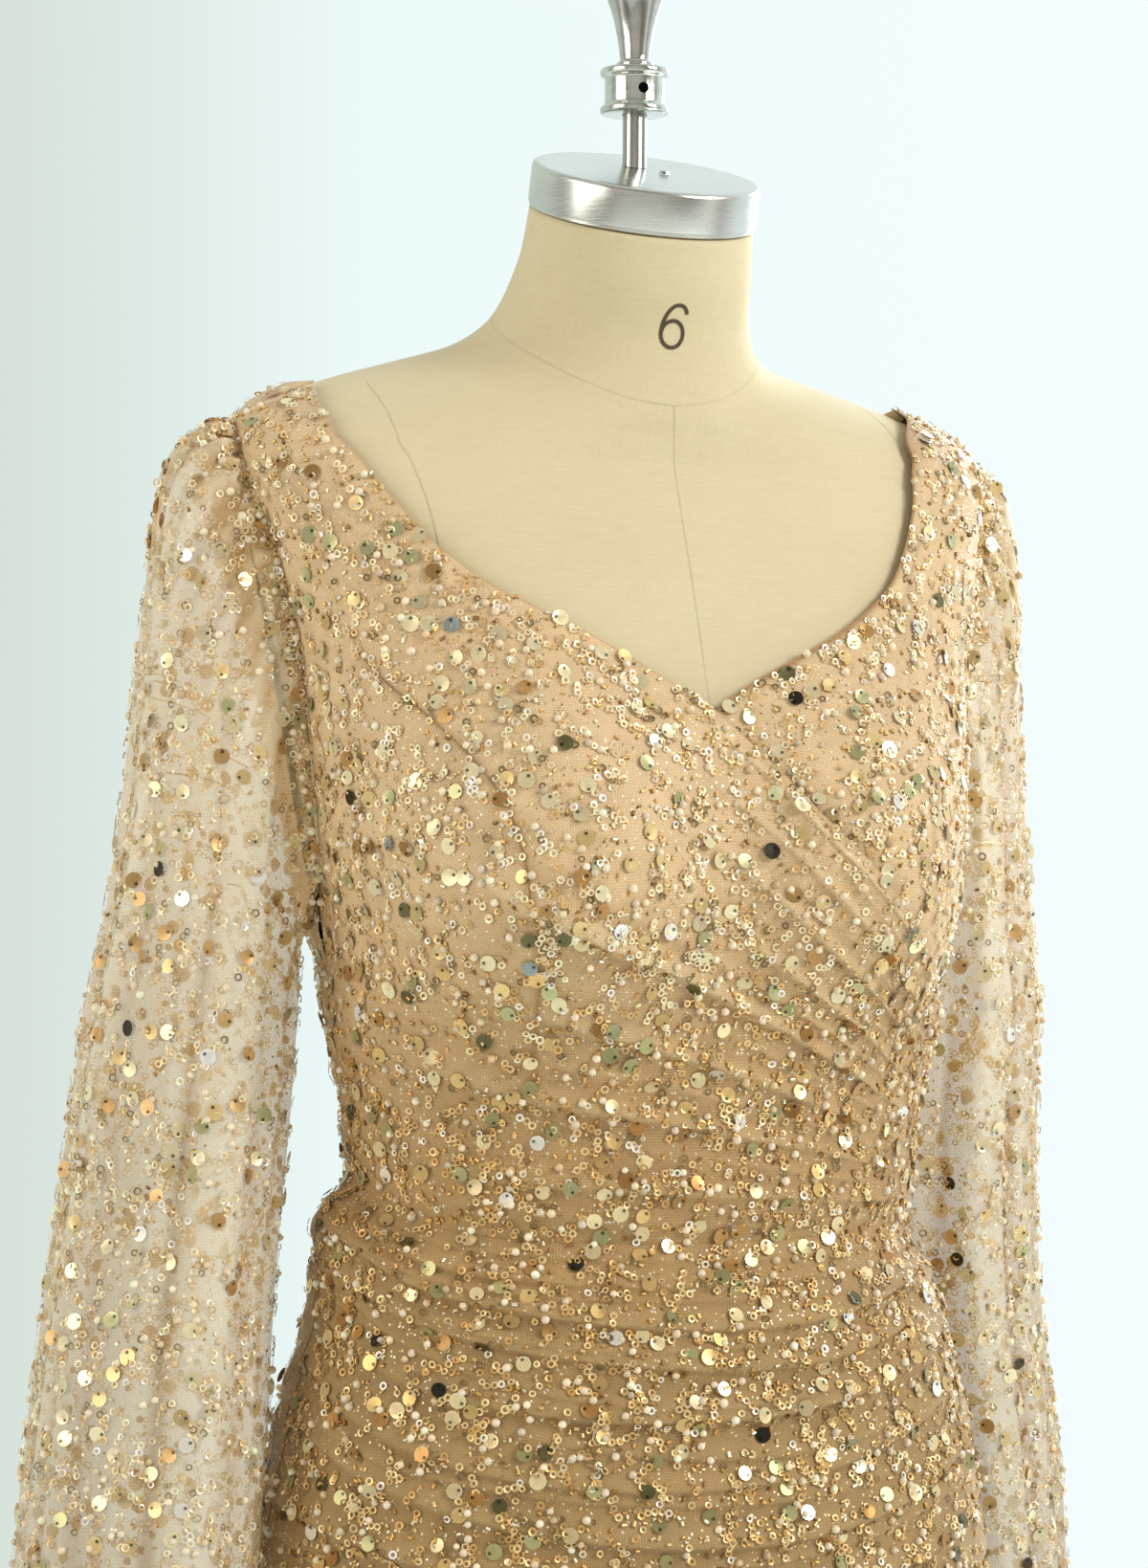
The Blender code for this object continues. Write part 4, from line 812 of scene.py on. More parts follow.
def pearl_shape(sides, rings):
    """The upper three quarters of a ball, closed on top."""
    points = [np.array([[0.0, 0.0, 1.0]])]
    for ring in range(rings):
        lean = math.radians(28.0 + ring * (110.0 - 28.0) / (rings - 1))
        shift = math.pi / sides * (ring % 2)
        points.append(circle(sides, math.sin(lean), 0.0, math.cos(lean), shift))
    i, j = next_round(sides)
    faces = [np.stack([0 * i, 1 + i, 1 + j], axis=-1)]
    for ring in range(rings - 1):
        a, b = 1 + ring * sides, 1 + (ring + 1) * sides
        faces.append(np.stack([a + i, b + i, a + j], axis=-1))
        faces.append(np.stack([a + j, b + i, b + j], axis=-1))
    points = np.vstack(points)
    return points, np.vstack(faces), np.ones(len(points))


def bead_shape(sides, length):
    """A seed or bugle bead lying along x."""
    ends = [np.roll(circle(sides, 0.8, 0.0, x), 1, axis=1) for x in (-length, length)]
    i, j = next_round(sides)
    faces = np.vstack([np.stack([i, sides + i, sides + j], axis=-1), np.stack([i, sides + j, j], axis=-1)])
    return np.vstack(ends), faces, np.ones(2 * sides)


class Surface:
    """Points and directions of a sheet's grid, read anywhere between its points."""

    def __init__(self, name):
        grid, _fields, self.tube = SHEETS[name]
        self.grid = np.concatenate([grid, grid[:, :1]], axis=1) if self.tube else grid
        across = self.grid[:, 1:] - self.grid[:, :-1]
        up = self.grid[1:] - self.grid[:-1]
        self.area = np.linalg.norm(np.cross(across[:-1], up[:, :-1]), axis=-1)
        self.middle = (self.grid[:-1, :-1] + self.grid[1:, 1:]) / 2

    def scatter(self, count, weight):
        """Places strewn over the cloth, as row and column numbers with fractions."""
        chance = np.cumsum((self.area * weight).reshape(-1))
        chosen = np.searchsorted(chance, RNG.random(count) * chance[-1])
        chosen = np.minimum(chosen, len(chance) - 1)
        row, column = np.divmod(chosen, self.area.shape[1])
        return np.stack([row + RNG.random(count), column + RNG.random(count)], axis=-1)

    def read(self, places):
        """Point, outward normal, two directions along the cloth, and the size of a step each way."""
        rows, columns = self.grid.shape[:2]
        place = places.copy()
        if self.tube:
            place[:, 1] = place[:, 1] % (columns - 1)
        row = np.clip(place[:, 0], 0, rows - 1.001)
        column = np.clip(place[:, 1], 0, columns - 1.001)
        i, j = row.astype(int), column.astype(int)
        a, b = (row - i)[:, None], (column - j)[:, None]
        g = self.grid
        p00, p01, p10, p11 = g[i, j], g[i, j + 1], g[i + 1, j], g[i + 1, j + 1]
        point = (1 - a) * ((1 - b) * p00 + b * p01) + a * ((1 - b) * p10 + b * p11)
        across = (1 - a) * (p01 - p00) + a * (p11 - p10)
        up = (1 - b) * (p10 - p00) + b * (p11 - p01)
        normal = unit(np.cross(across, up))
        step = np.stack([np.linalg.norm(up, axis=-1), np.linalg.norm(across, axis=-1)], axis=-1)
        side = unit(across)
        return point, normal, side, np.cross(normal, side), step

    def moved(self, places, side, up):
        """Places moved by distances along the cloth."""
        step = np.maximum(self.read(places)[4], 1e-5)
        return places + np.stack([up / step[:, 0], side / step[:, 1]], axis=-1)

    def inside(self, places):
        """Whether each place keeps off the sheet's open edges."""
        rows, columns = self.grid.shape[:2]
        kept = (places[:, 0] > 0.3) & (places[:, 0] < rows - 1.4)
        if not self.tube:
            kept &= (places[:, 1] > 0.3) & (places[:, 1] < columns - 1.4)
        return kept


def spaced(surface, places, apart):
    """Drops places that lie too close to an earlier one."""
    points = surface.read(places)[0]
    cells, kept = {}, []
    for k, point in enumerate(points):
        key = tuple((point // apart).astype(int))
        near = [other for dx in (-1, 0, 1) for dy in (-1, 0, 1) for dz in (-1, 0, 1)
                for other in cells.get((key[0] + dx, key[1] + dy, key[2] + dz), ())]
        if all(np.dot(point - points[other], point - points[other]) > apart * apart for other in near):
            cells.setdefault(key, []).append(k)
            kept.append(k)
    return places[kept]


def stitched(name, surface, places, shape, radius, lift, tilt, tints, finish):
    """Copies a small shape to each place on the cloth, joined in one piece."""
    points, normal, side, up, _step = surface.read(places)
    base, faces, shade = shape
    count, corners = len(places), len(shape[0])
    lean = unit(normal + RNG.normal(0.0, tilt, (count, 3)))
    heading = RNG.random(count) * 2 * math.pi
    first = side * np.cos(heading)[:, None] + up * np.sin(heading)[:, None]
    first = unit(first - lean * np.sum(first * lean, axis=-1, keepdims=True))
    second = np.cross(lean, first)
    local = base[None] * radius[:, None, None]
    verts = points[:, None] + lift[:, None, None] * normal[:, None]
    verts = (verts + local[..., 0:1] * first[:, None] + local[..., 1:2] * second[:, None]
             + local[..., 2:3] * lean[:, None])
    triangles = (faces[None] + (np.arange(count) * corners)[:, None, None]).reshape(-1, 3)
    mesh = bpy.data.meshes.new(name)
    mesh.vertices.add(count * corners)
    mesh.vertices.foreach_set("co", verts.reshape(-1).astype(np.float32))
    mesh.loops.add(len(triangles) * 3)
    mesh.loops.foreach_set("vertex_index", triangles.reshape(-1).astype(np.int32))
    mesh.polygons.add(len(triangles))
    mesh.polygons.foreach_set("loop_start", np.arange(0, len(triangles) * 3, 3, dtype=np.int32))
    tint = mesh.color_attributes.new("tint", "FLOAT_COLOR", "POINT")
    colours = np.concatenate([tints[:, None] * shade[None, :, None], np.ones((count, corners, 1))], axis=2)
    tint.data.foreach_set("color", colours.reshape(-1).astype(np.float32))
    mesh.update(calc_edges=True)
    mesh.validate()
    mesh.shade_smooth()
    placed(name, mesh, finish)


# ---- materials -------------------------------------------------------------------------------
VECTOR, NUMBER = "NodeSocketVector", "NodeSocketFloat"


def linear(red, green, blue):
    """Linear colour from values on the usual 0 to 255 scale."""
    shares = (value / 255 for value in (red, green, blue))
    return tuple(c / 12.92 if c <= 0.04045 else ((c + 0.055) / 1.055) ** 2.4 for c in shares)


def grey(value):
    """A colour of three like values."""
    return (value, value, value)


def new_finish(name, **values):
    """A material with its node tree and shader; values are set on the shader's sockets."""
    made = bpy.data.materials.new(name)
    made.use_nodes = True
    shader = made.node_tree.nodes["Principled BSDF"]
    for socket, value in values.items():
        shader.inputs[socket.replace("_", " ")].default_value = value
    return made, made.node_tree, shader


def add(tree, kind, **settings):
    """A new node with its settings."""
    node = tree.nodes.new(kind)
    for key, value in settings.items():
        setattr(node, key, value)
    return node


def maths(tree, operation, *values):
    """One sum or product; each value is a number or a socket."""
    node = add(tree, "ShaderNodeMath", operation=operation)
    for socket, value in zip(node.inputs, values):
        if isinstance(value, (int, float)):
            socket.default_value = value
        else:
            tree.links.new(value, socket)
    return node.outputs[0]


def ramped(tree, factor, stops, smooth=False):
    """Colours along a ramp; each stop is a place and a colour."""
    node = add(tree, "ShaderNodeValToRGB")
    node.color_ramp.interpolation = "EASE" if smooth else "LINEAR"
    ramp = node.color_ramp.elements
    while len(ramp) < len(stops):
        ramp.new(0.5)
    for stop, (place, colour) in zip(ramp, stops):
        stop.position, stop.color = place, (*colour, 1.0)
    tree.links.new(factor, node.inputs[0])
    return node.outputs[0]


def blend_colours(tree, kind, factor, first, second):
    """Two colours blended; each is a socket or a plain colour."""
    node = add(tree, "ShaderNodeMix", data_type="RGBA", blend_type=kind)
    for socket, value in zip((node.inputs[0], node.inputs[6], node.inputs[7]), (factor, first, second)):
        if isinstance(value, (int, float)):
            socket.default_value = value
        elif isinstance(value, tuple):
            socket.default_value = (*value, 1.0)
        else:
            tree.links.new(value, socket)
    return node.outputs[2]


def toned(tree, colour, factor, stops, amount=1.0):
    """A colour multiplied by a ramp's tones."""
    return blend_colours(tree, "MULTIPLY", amount, colour, ramped(tree, factor, stops))


def stretch(tree, vector, scale):
    """A vector with its own scale along each axis."""
    node = add(tree, "ShaderNodeMapping")
    node.inputs["Scale"].default_value = scale
    tree.links.new(vector, node.inputs["Vector"])
    return node.outputs[0]


def noise(tree, vector, scale, detail=3.0, roughness=0.5):
    """Cloudy noise, 0 to 1."""
    node = add(tree, "ShaderNodeTexNoise")
    node.inputs["Scale"].default_value = scale
    node.inputs["Detail"].default_value = detail
    node.inputs["Roughness"].default_value = roughness
    tree.links.new(vector, node.inputs["Vector"])
    return node.outputs["Fac"]


def raised(tree, shader, height, distance, strength):
    """Bumps on the finish, by a height and how far it stands out."""
    node = add(tree, "ShaderNodeBump")
    node.inputs["Distance"].default_value = distance
    node.inputs["Strength"].default_value = strength
    tree.links.new(height, node.inputs["Height"])
    tree.links.new(node.outputs[0], shader.inputs["Normal"])


def cloth_map(tree):
    """Places on the cloth, in metres along it."""
    return add(tree, "ShaderNodeUVMap", uv_map="cloth").outputs[0]


def object_place(tree):
    """Places on the piece, in metres."""
    return add(tree, "ShaderNodeTexCoord").outputs["Object"]


def height_over_hips(tree):
    """Height on the piece, from 0.3 m below the waist."""
    parts = add(tree, "ShaderNodeSeparateXYZ")
    tree.links.new(object_place(tree), parts.inputs[0])
    return maths(tree, "SUBTRACT", parts.outputs[2], WAIST_Z - 0.3)


def carried(tree, label, output="Fac"):
    """A value or colour that the piece's points carry."""
    return add(tree, "ShaderNodeAttribute", attribute_name=label).outputs[output]


def shared_group(name, inputs, outputs):
    """A node group with its inputs and outputs, given as names and kinds."""
    group = bpy.data.node_groups.new(name, "ShaderNodeTree")
    for way, sockets in (("INPUT", inputs), ("OUTPUT", outputs)):
        for label, kind in sockets.items():
            group.interface.new_socket(label, in_out=way, socket_type=kind)
    return group, group.nodes.new("NodeGroupInput"), group.nodes.new("NodeGroupOutput")


def use_group(tree, group, **values):
    """A shared group in a material; each value is a number or a socket."""
    node = add(tree, "ShaderNodeGroup", node_tree=group)
    for key, value in values.items():
        socket = node.inputs[key.replace("_", " ")]
        if isinstance(value, (int, float)):
            socket.default_value = value
        else:
            tree.links.new(value, socket)
    return node


def group_cells(group, taken, size, randomness, feature):
    """Cells on the group's map, as large as its size input says."""
    scaled = add(group, "ShaderNodeVectorMath", operation="DIVIDE")
    group.links.new(taken.outputs["Map"], scaled.inputs[0])
    group.links.new(taken.outputs[size], scaled.inputs[1])
    cells = add(group, "ShaderNodeTexVoronoi", feature=feature, voronoi_dimensions="2D")
    cells.inputs["Scale"].default_value = 1.0
    cells.inputs["Randomness"].default_value = randomness
    group.links.new(scaled.outputs[0], cells.inputs["Vector"])
    return cells


def net_group():
    """Hexagonal tulle: 1 on its threads, 0 in its holes, with a mottle over the cloth."""
    group, taken, given = shared_group("tulle net", {"Map": VECTOR, "Mesh size": NUMBER},
                                       {"Thread": NUMBER, "Mottle": NUMBER})
    cells = group_cells(group, taken, "Mesh size", 0.35, "DISTANCE_TO_EDGE")
    thread = add(group, "ShaderNodeMapRange")
    for socket, value in zip(("From Min", "From Max", "To Min", "To Max"), (0.02, 0.16, 1.0, 0.0)):
        thread.inputs[socket].default_value = value
    group.links.new(cells.outputs["Distance"], thread.inputs["Value"])
    group.links.new(thread.outputs[0], given.inputs["Thread"])
    group.links.new(noise(group, taken.outputs["Map"], 38.0, 4.0, 0.6), given.inputs["Mottle"])
    return group


def fleck_group():
    """Scattered fine metallic flecks, each cell with its own value, on a cloth map."""
    group, taken, given = shared_group("gold flecks", {"Map": VECTOR, "Size": NUMBER, "Cover": NUMBER},
                                       {"Fleck": NUMBER, "Chance": NUMBER})
    cells = group_cells(group, taken, "Size", 1.0, "F1")
    parts = add(group, "ShaderNodeSeparateColor")
    group.links.new(cells.outputs["Color"], parts.inputs[0])
    near = maths(group, "LESS_THAN", cells.outputs["Distance"], 0.34)
    chosen = maths(group, "LESS_THAN", parts.outputs[0], taken.outputs["Cover"])
    group.links.new(maths(group, "MULTIPLY", near, chosen), given.inputs["Fleck"])
    group.links.new(parts.outputs[1], given.inputs["Chance"])
    return group


def wear_group():
    """Fine brushing along one direction with smudges, for the metal pieces."""
    group, taken, given = shared_group("metal wear", {"Place": VECTOR, "Grain": NUMBER, "Smudge": NUMBER},
                                       {"Brushing": NUMBER, "Smudges": NUMBER})
    for label, output, detail in (("Grain", "Brushing", 3.0), ("Smudge", "Smudges", 4.0)):
        node = add(group, "ShaderNodeTexNoise")
        node.inputs["Detail"].default_value = detail
        group.links.new(taken.outputs[label], node.inputs["Scale"])
        group.links.new(taken.outputs["Place"], node.inputs["Vector"])
        group.links.new(node.outputs["Fac"], given.inputs[output])
    return group


NET = net_group()
FLECKS = fleck_group()
WEAR = wear_group()


def flecked(tree, shader, colour, seam, size, cover, stops):
    """Fine gold flecks on a cloth's colour, but not on its seams; gives the colour and the flecks."""
    fine = use_group(tree, FLECKS, Map=cloth_map(tree), Size=size, Cover=cover)
    fleck = maths(tree, "MULTIPLY", fine.outputs["Fleck"], maths(tree, "SUBTRACT", 1.0, seam))
    colour = blend_colours(tree, "MIX", fleck, colour, ramped(tree, fine.outputs["Chance"], stops))
    tree.links.new(maths(tree, "MULTIPLY", fleck, 0.6), shader.inputs["Metallic"])
    return colour, fleck


def beaded_backing(name, valley_shade, plain, crest_highlight):
    """Nude backing under tulle, with painted shade in its fold valleys and painted highlight on their crests,
    darker and more golden low down, partly as painted shade, and gold flecks stitched on.
    """
    made, tree, shader = new_finish(name, Roughness=0.62, Sheen_Weight=0.15)
    net = use_group(tree, NET, Map=cloth_map(tree), Mesh_size=0.00135)
    seam = carried(tree, "seam")
    # Painted shade in the folds' valleys and painted highlight on their crests.
    colour = ramped(tree, carried(tree, "fold"), ((0.0, valley_shade), (0.5, plain), (1.0, crest_highlight)))
    colour = toned(tree, colour, net.outputs["Mottle"], (
        (0.25, (0.82, 0.80, 0.77)), (0.75, (1.08, 1.06, 1.02))))
    colour = toned(tree, colour, net.outputs["Thread"], (
        (0.0, (0.76, 0.72, 0.66)), (0.8, (1.16, 1.13, 1.08))))
    # Darker and more golden from the midriff down: partly a warmer tone, partly painted shade.
    colour = toned(tree, colour, height_over_hips(tree), (
        (0.24, (0.53, 0.465, 0.305)), (0.32, (0.62, 0.53, 0.365)), (0.385, (0.75, 0.68, 0.55)),
        (0.44, (0.93, 0.90, 0.84)), (0.49, grey(1.0))))
    colour, fleck = flecked(tree, shader, colour, seam, 0.0018, 0.16, (
        (0.0, (0.30, 0.20, 0.09)), (0.45, (0.72, 0.50, 0.23)), (0.85, (0.96, 0.86, 0.66))))
    # Darker brown along the seam field: on the bodice its darts, edges and bound neck, on the skirt the
    # painted shadow lines under its folds.
    colour = blend_colours(tree, "MIX", maths(tree, "MULTIPLY", seam, 0.7), colour, linear(150, 110, 60))
    tree.links.new(colour, shader.inputs["Base Color"])
    smoother = maths(tree, "MULTIPLY", fleck, 0.34)
    tree.links.new(maths(tree, "SUBTRACT", 0.64, smoother), shader.inputs["Roughness"])
    height = maths(tree, "ADD", maths(tree, "MULTIPLY", net.outputs["Thread"], 0.35), fleck)
    raised(tree, shader, height, 0.0005, 0.8)
    return made


def sheer_tulle(name, thread, hole):
    """Sheer net of the sleeves: half of what lies behind it shows, less of it on its folds, which carry
    painted shade in their valleys and painted highlight on their crests.
    """
    made, tree, shader = new_finish(name, Roughness=0.5)
    net = use_group(tree, NET, Map=cloth_map(tree), Mesh_size=0.00125)
    seam, fold = carried(tree, "seam"), carried(tree, "fold")
    # Painted shade in the valleys of the folds and creases, painted highlight on their crests, and darker
    # towards the bottom.
    colour = ramped(tree, fold, (
        (0.0, linear(206, 168, 114)), (0.5, linear(240, 213, 165)), (1.0, linear(253, 238, 204))))
    colour = toned(tree, colour, height_over_hips(tree), (
        (0.07, grey(0.68)), (0.30, grey(0.85)), (0.50, grey(1.0))))
    colour = toned(tree, colour, net.outputs["Mottle"], (
        (0.25, (0.92, 0.90, 0.87)), (0.75, (1.03, 1.02, 1.01))))
    colour, fleck = flecked(tree, shader, colour, seam, 0.0023, 0.06, (
        (0.0, (0.34, 0.24, 0.12)), (0.5, (0.78, 0.60, 0.33)), (0.85, (0.96, 0.88, 0.70))))
    shade = maths(tree, "MULTIPLY", seam, maths(tree, "MULTIPLY", seam, 0.35))
    colour = blend_colours(tree, "MIX", shade, colour, linear(192, 146, 90))
    tree.links.new(colour, shader.inputs["Base Color"])
    solid = maths(tree, "ADD", hole, maths(tree, "MULTIPLY", net.outputs["Thread"], thread - hole))
    steep = maths(tree, "ABSOLUTE", maths(tree, "SUBTRACT", fold, 0.5))
    solid = maths(tree, "ADD", solid, maths(tree, "MULTIPLY", steep, 0.32))
    lined = maths(tree, "MINIMUM", maths(tree, "MULTIPLY", seam, 1.5), 1.0)
    solid = maths(tree, "MINIMUM", maths(tree, "MAXIMUM", solid, maths(tree, "MAXIMUM", fleck, lined)), 1.0)
    tree.links.new(solid, shader.inputs["Alpha"])
    raised(tree, shader, net.outputs["Thread"], 0.0002, 0.4)
    return made


def foil(name, roughness, metallic):
    """Sequin foil, in the colour that each sequin carries; some of these tints are painted glints, painted
    reflections and partly painted shade.
    """
    made, tree, shader = new_finish(name, Roughness=roughness, Metallic=metallic)
    grain = noise(tree, object_place(tree), 260.0, 2.0)
    colour = toned(tree, carried(tree, "tint", "Color"), grain, (
        (0.30, (0.93, 0.92, 0.90)), (0.70, grey(1.0))))
    tree.links.new(colour, shader.inputs["Base Color"])
    tree.links.new(maths(tree, "ADD", maths(tree, "MULTIPLY", grain, 0.20), roughness - 0.10),
                   shader.inputs["Roughness"])
    return made


def pearl(name):
    """Milky pearl with a soft coat, in the colour that each pearl carries."""
    made, tree, shader = new_finish(name, Roughness=0.34, Coat_Weight=0.3, Coat_Roughness=0.15)
    clouds = noise(tree, object_place(tree), 420.0, 3.0)
    colour = toned(tree, carried(tree, "tint", "Color"), clouds, (
        (0.3, (0.90, 0.88, 0.86)), (0.7, grey(1.0))))
    tree.links.new(colour, shader.inputs["Base Color"])
    return made


def linen(name, low, high):
    """Cream linen of the form: fine crossed threads, a few slubs and a faint age mottle."""
    made, tree, shader = new_finish(name, Roughness=0.86, Sheen_Weight=0.1)
    where = object_place(tree)
    warp = noise(tree, stretch(tree, where, (1700.0, 1700.0, 90.0)), 1.0, 2.0, 0.6)
    weft = noise(tree, stretch(tree, where, (90.0, 90.0, 1700.0)), 1.0, 2.0, 0.6)
    weave = maths(tree, "ADD", maths(tree, "MULTIPLY", warp, 0.5), maths(tree, "MULTIPLY", weft, 0.5))
    slub = noise(tree, stretch(tree, where, (40.0, 40.0, 800.0)), 1.0, 2.0, 0.5)
    colour = ramped(tree, weave, ((0.36, low), (0.64, high)))
    age = noise(tree, where, 9.0, 4.0, 0.6)
    colour = toned(tree, colour, slub, ((0.3, (0.93, 0.92, 0.90)), (0.6, grey(1.0))), 0.22)
    colour = toned(tree, colour, age, ((0.3, (0.95, 0.94, 0.91)), (0.7, grey(1.0))))
    tree.links.new(colour, shader.inputs["Base Color"])
    raised(tree, shader, weave, 0.0002, 0.4)
    return made


def metal(name, dark, light, roughness, scale, grain, smudge, relief=0.00004):
    """Worn metal between two tones, brushed along the direction in which `scale` is small."""
    made, tree, shader = new_finish(name, Metallic=1.0, Roughness=roughness)
    wear = use_group(tree, WEAR, Place=stretch(tree, object_place(tree), scale), Grain=grain, Smudge=smudge)
    mixed = maths(tree, "ADD", maths(tree, "MULTIPLY", wear.outputs["Brushing"], 0.6),
                  maths(tree, "MULTIPLY", wear.outputs["Smudges"], 0.4))
    tree.links.new(ramped(tree, mixed, ((0.35, dark), (0.65, light))), shader.inputs["Base Color"])
    tree.links.new(maths(tree, "ADD", maths(tree, "MULTIPLY", mixed, 0.24), roughness - 0.12),
                   shader.inputs["Roughness"])
    raised(tree, shader, wear.outputs["Brushing"], relief, 0.4)
    return made


def enamel(name):
    """Off-white stove enamel with a fine grain and faint smudges."""
    made, tree, shader = new_finish(name, Roughness=0.42, Coat_Weight=0.25, Coat_Roughness=0.2)
    wear = use_group(tree, WEAR, Place=object_place(tree), Grain=900.0, Smudge=24.0)
    tones = ((0.3, linear(222, 219, 210)), (0.7, linear(238, 236, 229)))
    colour = ramped(tree, wear.outputs["Smudges"], tones)
    tree.links.new(colour, shader.inputs["Base Color"])
    raised(tree, shader, wear.outputs["Brushing"], 0.00006, 0.5)
    return made


def mottled(name, roughness, scale, detail, low, high):
    """A plain dull finish between two tones, as ink and floor paint have."""
    made, tree, shader = new_finish(name, Roughness=roughness)
    tone = ramped(tree, noise(tree, object_place(tree), scale, detail), ((0.3, low), (0.7, high)))
    tree.links.new(tone, shader.inputs["Base Color"])
    return made


# The valley colour is painted shade and the crest colour painted highlight.
BEADED_CLOTH = beaded_backing("beaded tulle", linear(184, 146, 97), linear(240, 214, 172),
                              linear(249, 229, 191))
SLEEVE_CLOTH = sheer_tulle("sheer sleeve tulle", 0.66, 0.33)
SEQUIN_FOIL = foil("sequin foil", 0.28, 0.50)
RING_FOIL = foil("ring sequin foil", 0.34, 0.30)
PEARL = pearl("pearl bead")
BEAD_GLASS = foil("gold lined bead", 0.30, 0.45)
LINEN = linen("cream linen", linear(214, 200, 162), linear(222, 209, 172))
SEAM_LINEN = linen("linen seam thread", linear(205, 190, 152), linear(217, 204, 167))
DART_THREAD = linen("dart stitching", linear(156, 120, 74), linear(184, 146, 98))
CAP_METAL = metal("brushed aluminium", (0.63, 0.64, 0.59), (0.77, 0.78, 0.73), 0.25,
                  (30.0, 30.0, 900.0), 3.0, 0.06, 0.00001)
ROD_METAL = metal("polished steel", (0.44, 0.44, 0.41), (0.58, 0.58, 0.54), 0.15,
                  (300.0, 300.0, 18.0), 1.5, 0.4)
FINIAL_METAL = metal("polished finial", (0.53, 0.53, 0.49), (0.70, 0.70, 0.66), 0.13,
                     (60.0, 60.0, 220.0), 1.2, 0.4)
COLLAR_METAL = metal("polished collar", (0.58, 0.61, 0.56), (0.77, 0.81, 0.76), 0.13,
                     (60.0, 60.0, 220.0), 1.2, 0.4)
GILT = metal("gilt zip metal", (0.55, 0.38, 0.17), (0.86, 0.68, 0.38), 0.24, (300.0, 300.0, 300.0), 3.0, 0.7)
ENAMEL = enamel("stand enamel")
NUMERAL = mottled("printed size numeral", 0.8, 700.0, 2.0, linear(66, 55, 40), linear(90, 77, 56))
FLOOR = mottled("pale floor", 0.7, 3.0, 3.0, linear(226, 230, 228), linear(236, 240, 238))
# Painted shade: near black inside the screw bore.
BORE_SHADE = new_finish("dark screw bore", Base_Color=(0.012, 0.012, 0.011, 1.0), Roughness=0.7)[0]


# ---- the form --------------------------------------------------------------------------------
def torso():
    """The linen body: fine level sections, closed below and above."""
    columns, low_rows, neck_rows = 120, 44, 52
    degrees = (np.arange(columns) * 360.0 / columns)[None, :]
    heights = np.concatenate([np.linspace(FORM[0][0], 0.34, low_rows),
                              np.linspace(0.344, FORM[-1][0], neck_rows)])[:, None]
    grid = form_point(degrees + 0.0 * heights, heights + 0.0 * degrees)
    middle = grid.mean(axis=1, keepdims=True)
    foot = [middle[:1] + (grid[:1] - middle[:1]) * share for share in (0.02, 0.6, 0.97)]
    top = [middle[-1:] + (grid[-1:] - middle[-1:]) * share for share in (0.97, 0.6, 0.02)]
    grid = np.concatenate(foot + [grid] + top)
    made = sheet_object("linen_torso", grid, {}, LINEN, tube=True)
    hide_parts("torso_form")


def on_form(degrees, height, lift):
    """Points just off the form's surface, and the directions out of it there."""
    middle = moved_out(form_point, degrees, height, lift)
    return middle, unit(middle - form_point(degrees, height))


def sewn_path(rows, count, skipped=0.0):
    """A seam's angles and heights at even steps from its foot, its corners rounded."""
    path = np.array(rows)[::-1]
    steps = np.hypot(np.diff(path[:, 0]) * DEGREE, np.diff(path[:, 1]))
    reach = np.concatenate([[0.0], np.cumsum(steps)])
    at = np.linspace(reach[0] + skipped, reach[-1], count)
    turned, height = np.interp(at, reach, path[:, 0]), np.interp(at, reach, path[:, 1])
    for _round in range(12):
        for values in (turned, height):
            values[1:-1] = (values[:-2] + values[1:-1] + values[2:]) / 3
    return turned, height


def form_seams():
    """The form's sewn seams: centre lines, side lines, neck line and panel lines."""
    up = np.linspace(0.05, 0.4055, 90)
    low = up[up < 0.36]
    level = np.linspace(-180.0, 180.0, 145)
    lines = [(0.3 + 0.0 * up, up - 0.0085), (178.5 + 0.0 * up, up + 0.012),
             (level, read_table(NECK_SEAM, np.abs(level))[:, 0]),
             (89.0 + 0.0 * low, low), (-91.0 + 0.0 * low, low)]
    turned, height = sewn_path(PANEL_SEAM, 150)
    lines += [(turned, height), (-turned, height)]
    half_width, lift = LINEN_SEAM
    runs = [on_form(turned, height, lift) for turned, height in lines]
    sewn_lines("linen_seams", runs, half_width, SEAM_LINEN)


def bust_darts():
    """The upper front's bust dart: a fine sewn line that lies on the cloth."""
    turned, height = sewn_path(DART, 130, skipped=0.02)
    turned = -turned
    base = form_point(turned, height)
    outward = on_form(turned, height, 0.01)[1]
    cloth = SHEETS["bodice_front_over"][0].reshape(-1, 3)
    aim = base + 0.008 * outward
    near = [np.argsort(np.sum((cloth - spot) ** 2, axis=-1))[:4] for spot in aim]
    rise = [np.dot(cloth[found] - spot, out).mean() for found, spot, out in zip(near, base, outward)]
    rise = np.convolve(np.pad(rise, 2, mode="edge"), np.ones(5) / 5, mode="valid")
    half_width, lift = DART_LINE
    middle = base + (rise + lift)[:, None] * outward
    sewn_lines("dart_stitching", [(middle, outward)], half_width, DART_THREAD)


def panel_seams():
    """Back seams with the hidden zip, the skirt's side seams and the lower front's neck edge."""
    half_width, lift = PANEL_LINE
    runs = []
    for name, column in (("bodice_back_left", -1), ("skirt_back_left", -1), ("skirt_front", 0),
                         ("skirt_front", -1)):
        grid = SHEETS[name][0]
        outward = grid_normals(grid, False)[:, column]
        runs.append((grid[:, column] + lift * outward, outward))
    sewn_lines("seam_stitching", runs, half_width, DART_THREAD)
    half_width, lift = NECK_LINE
    neck = SHEETS["bodice_front_under"][0]
    outward = grid_normals(neck, False)[-1]
    run = (neck[-1] + lift * outward, outward)
    sewn_lines("neck_binding", [run], half_width, DART_THREAD)


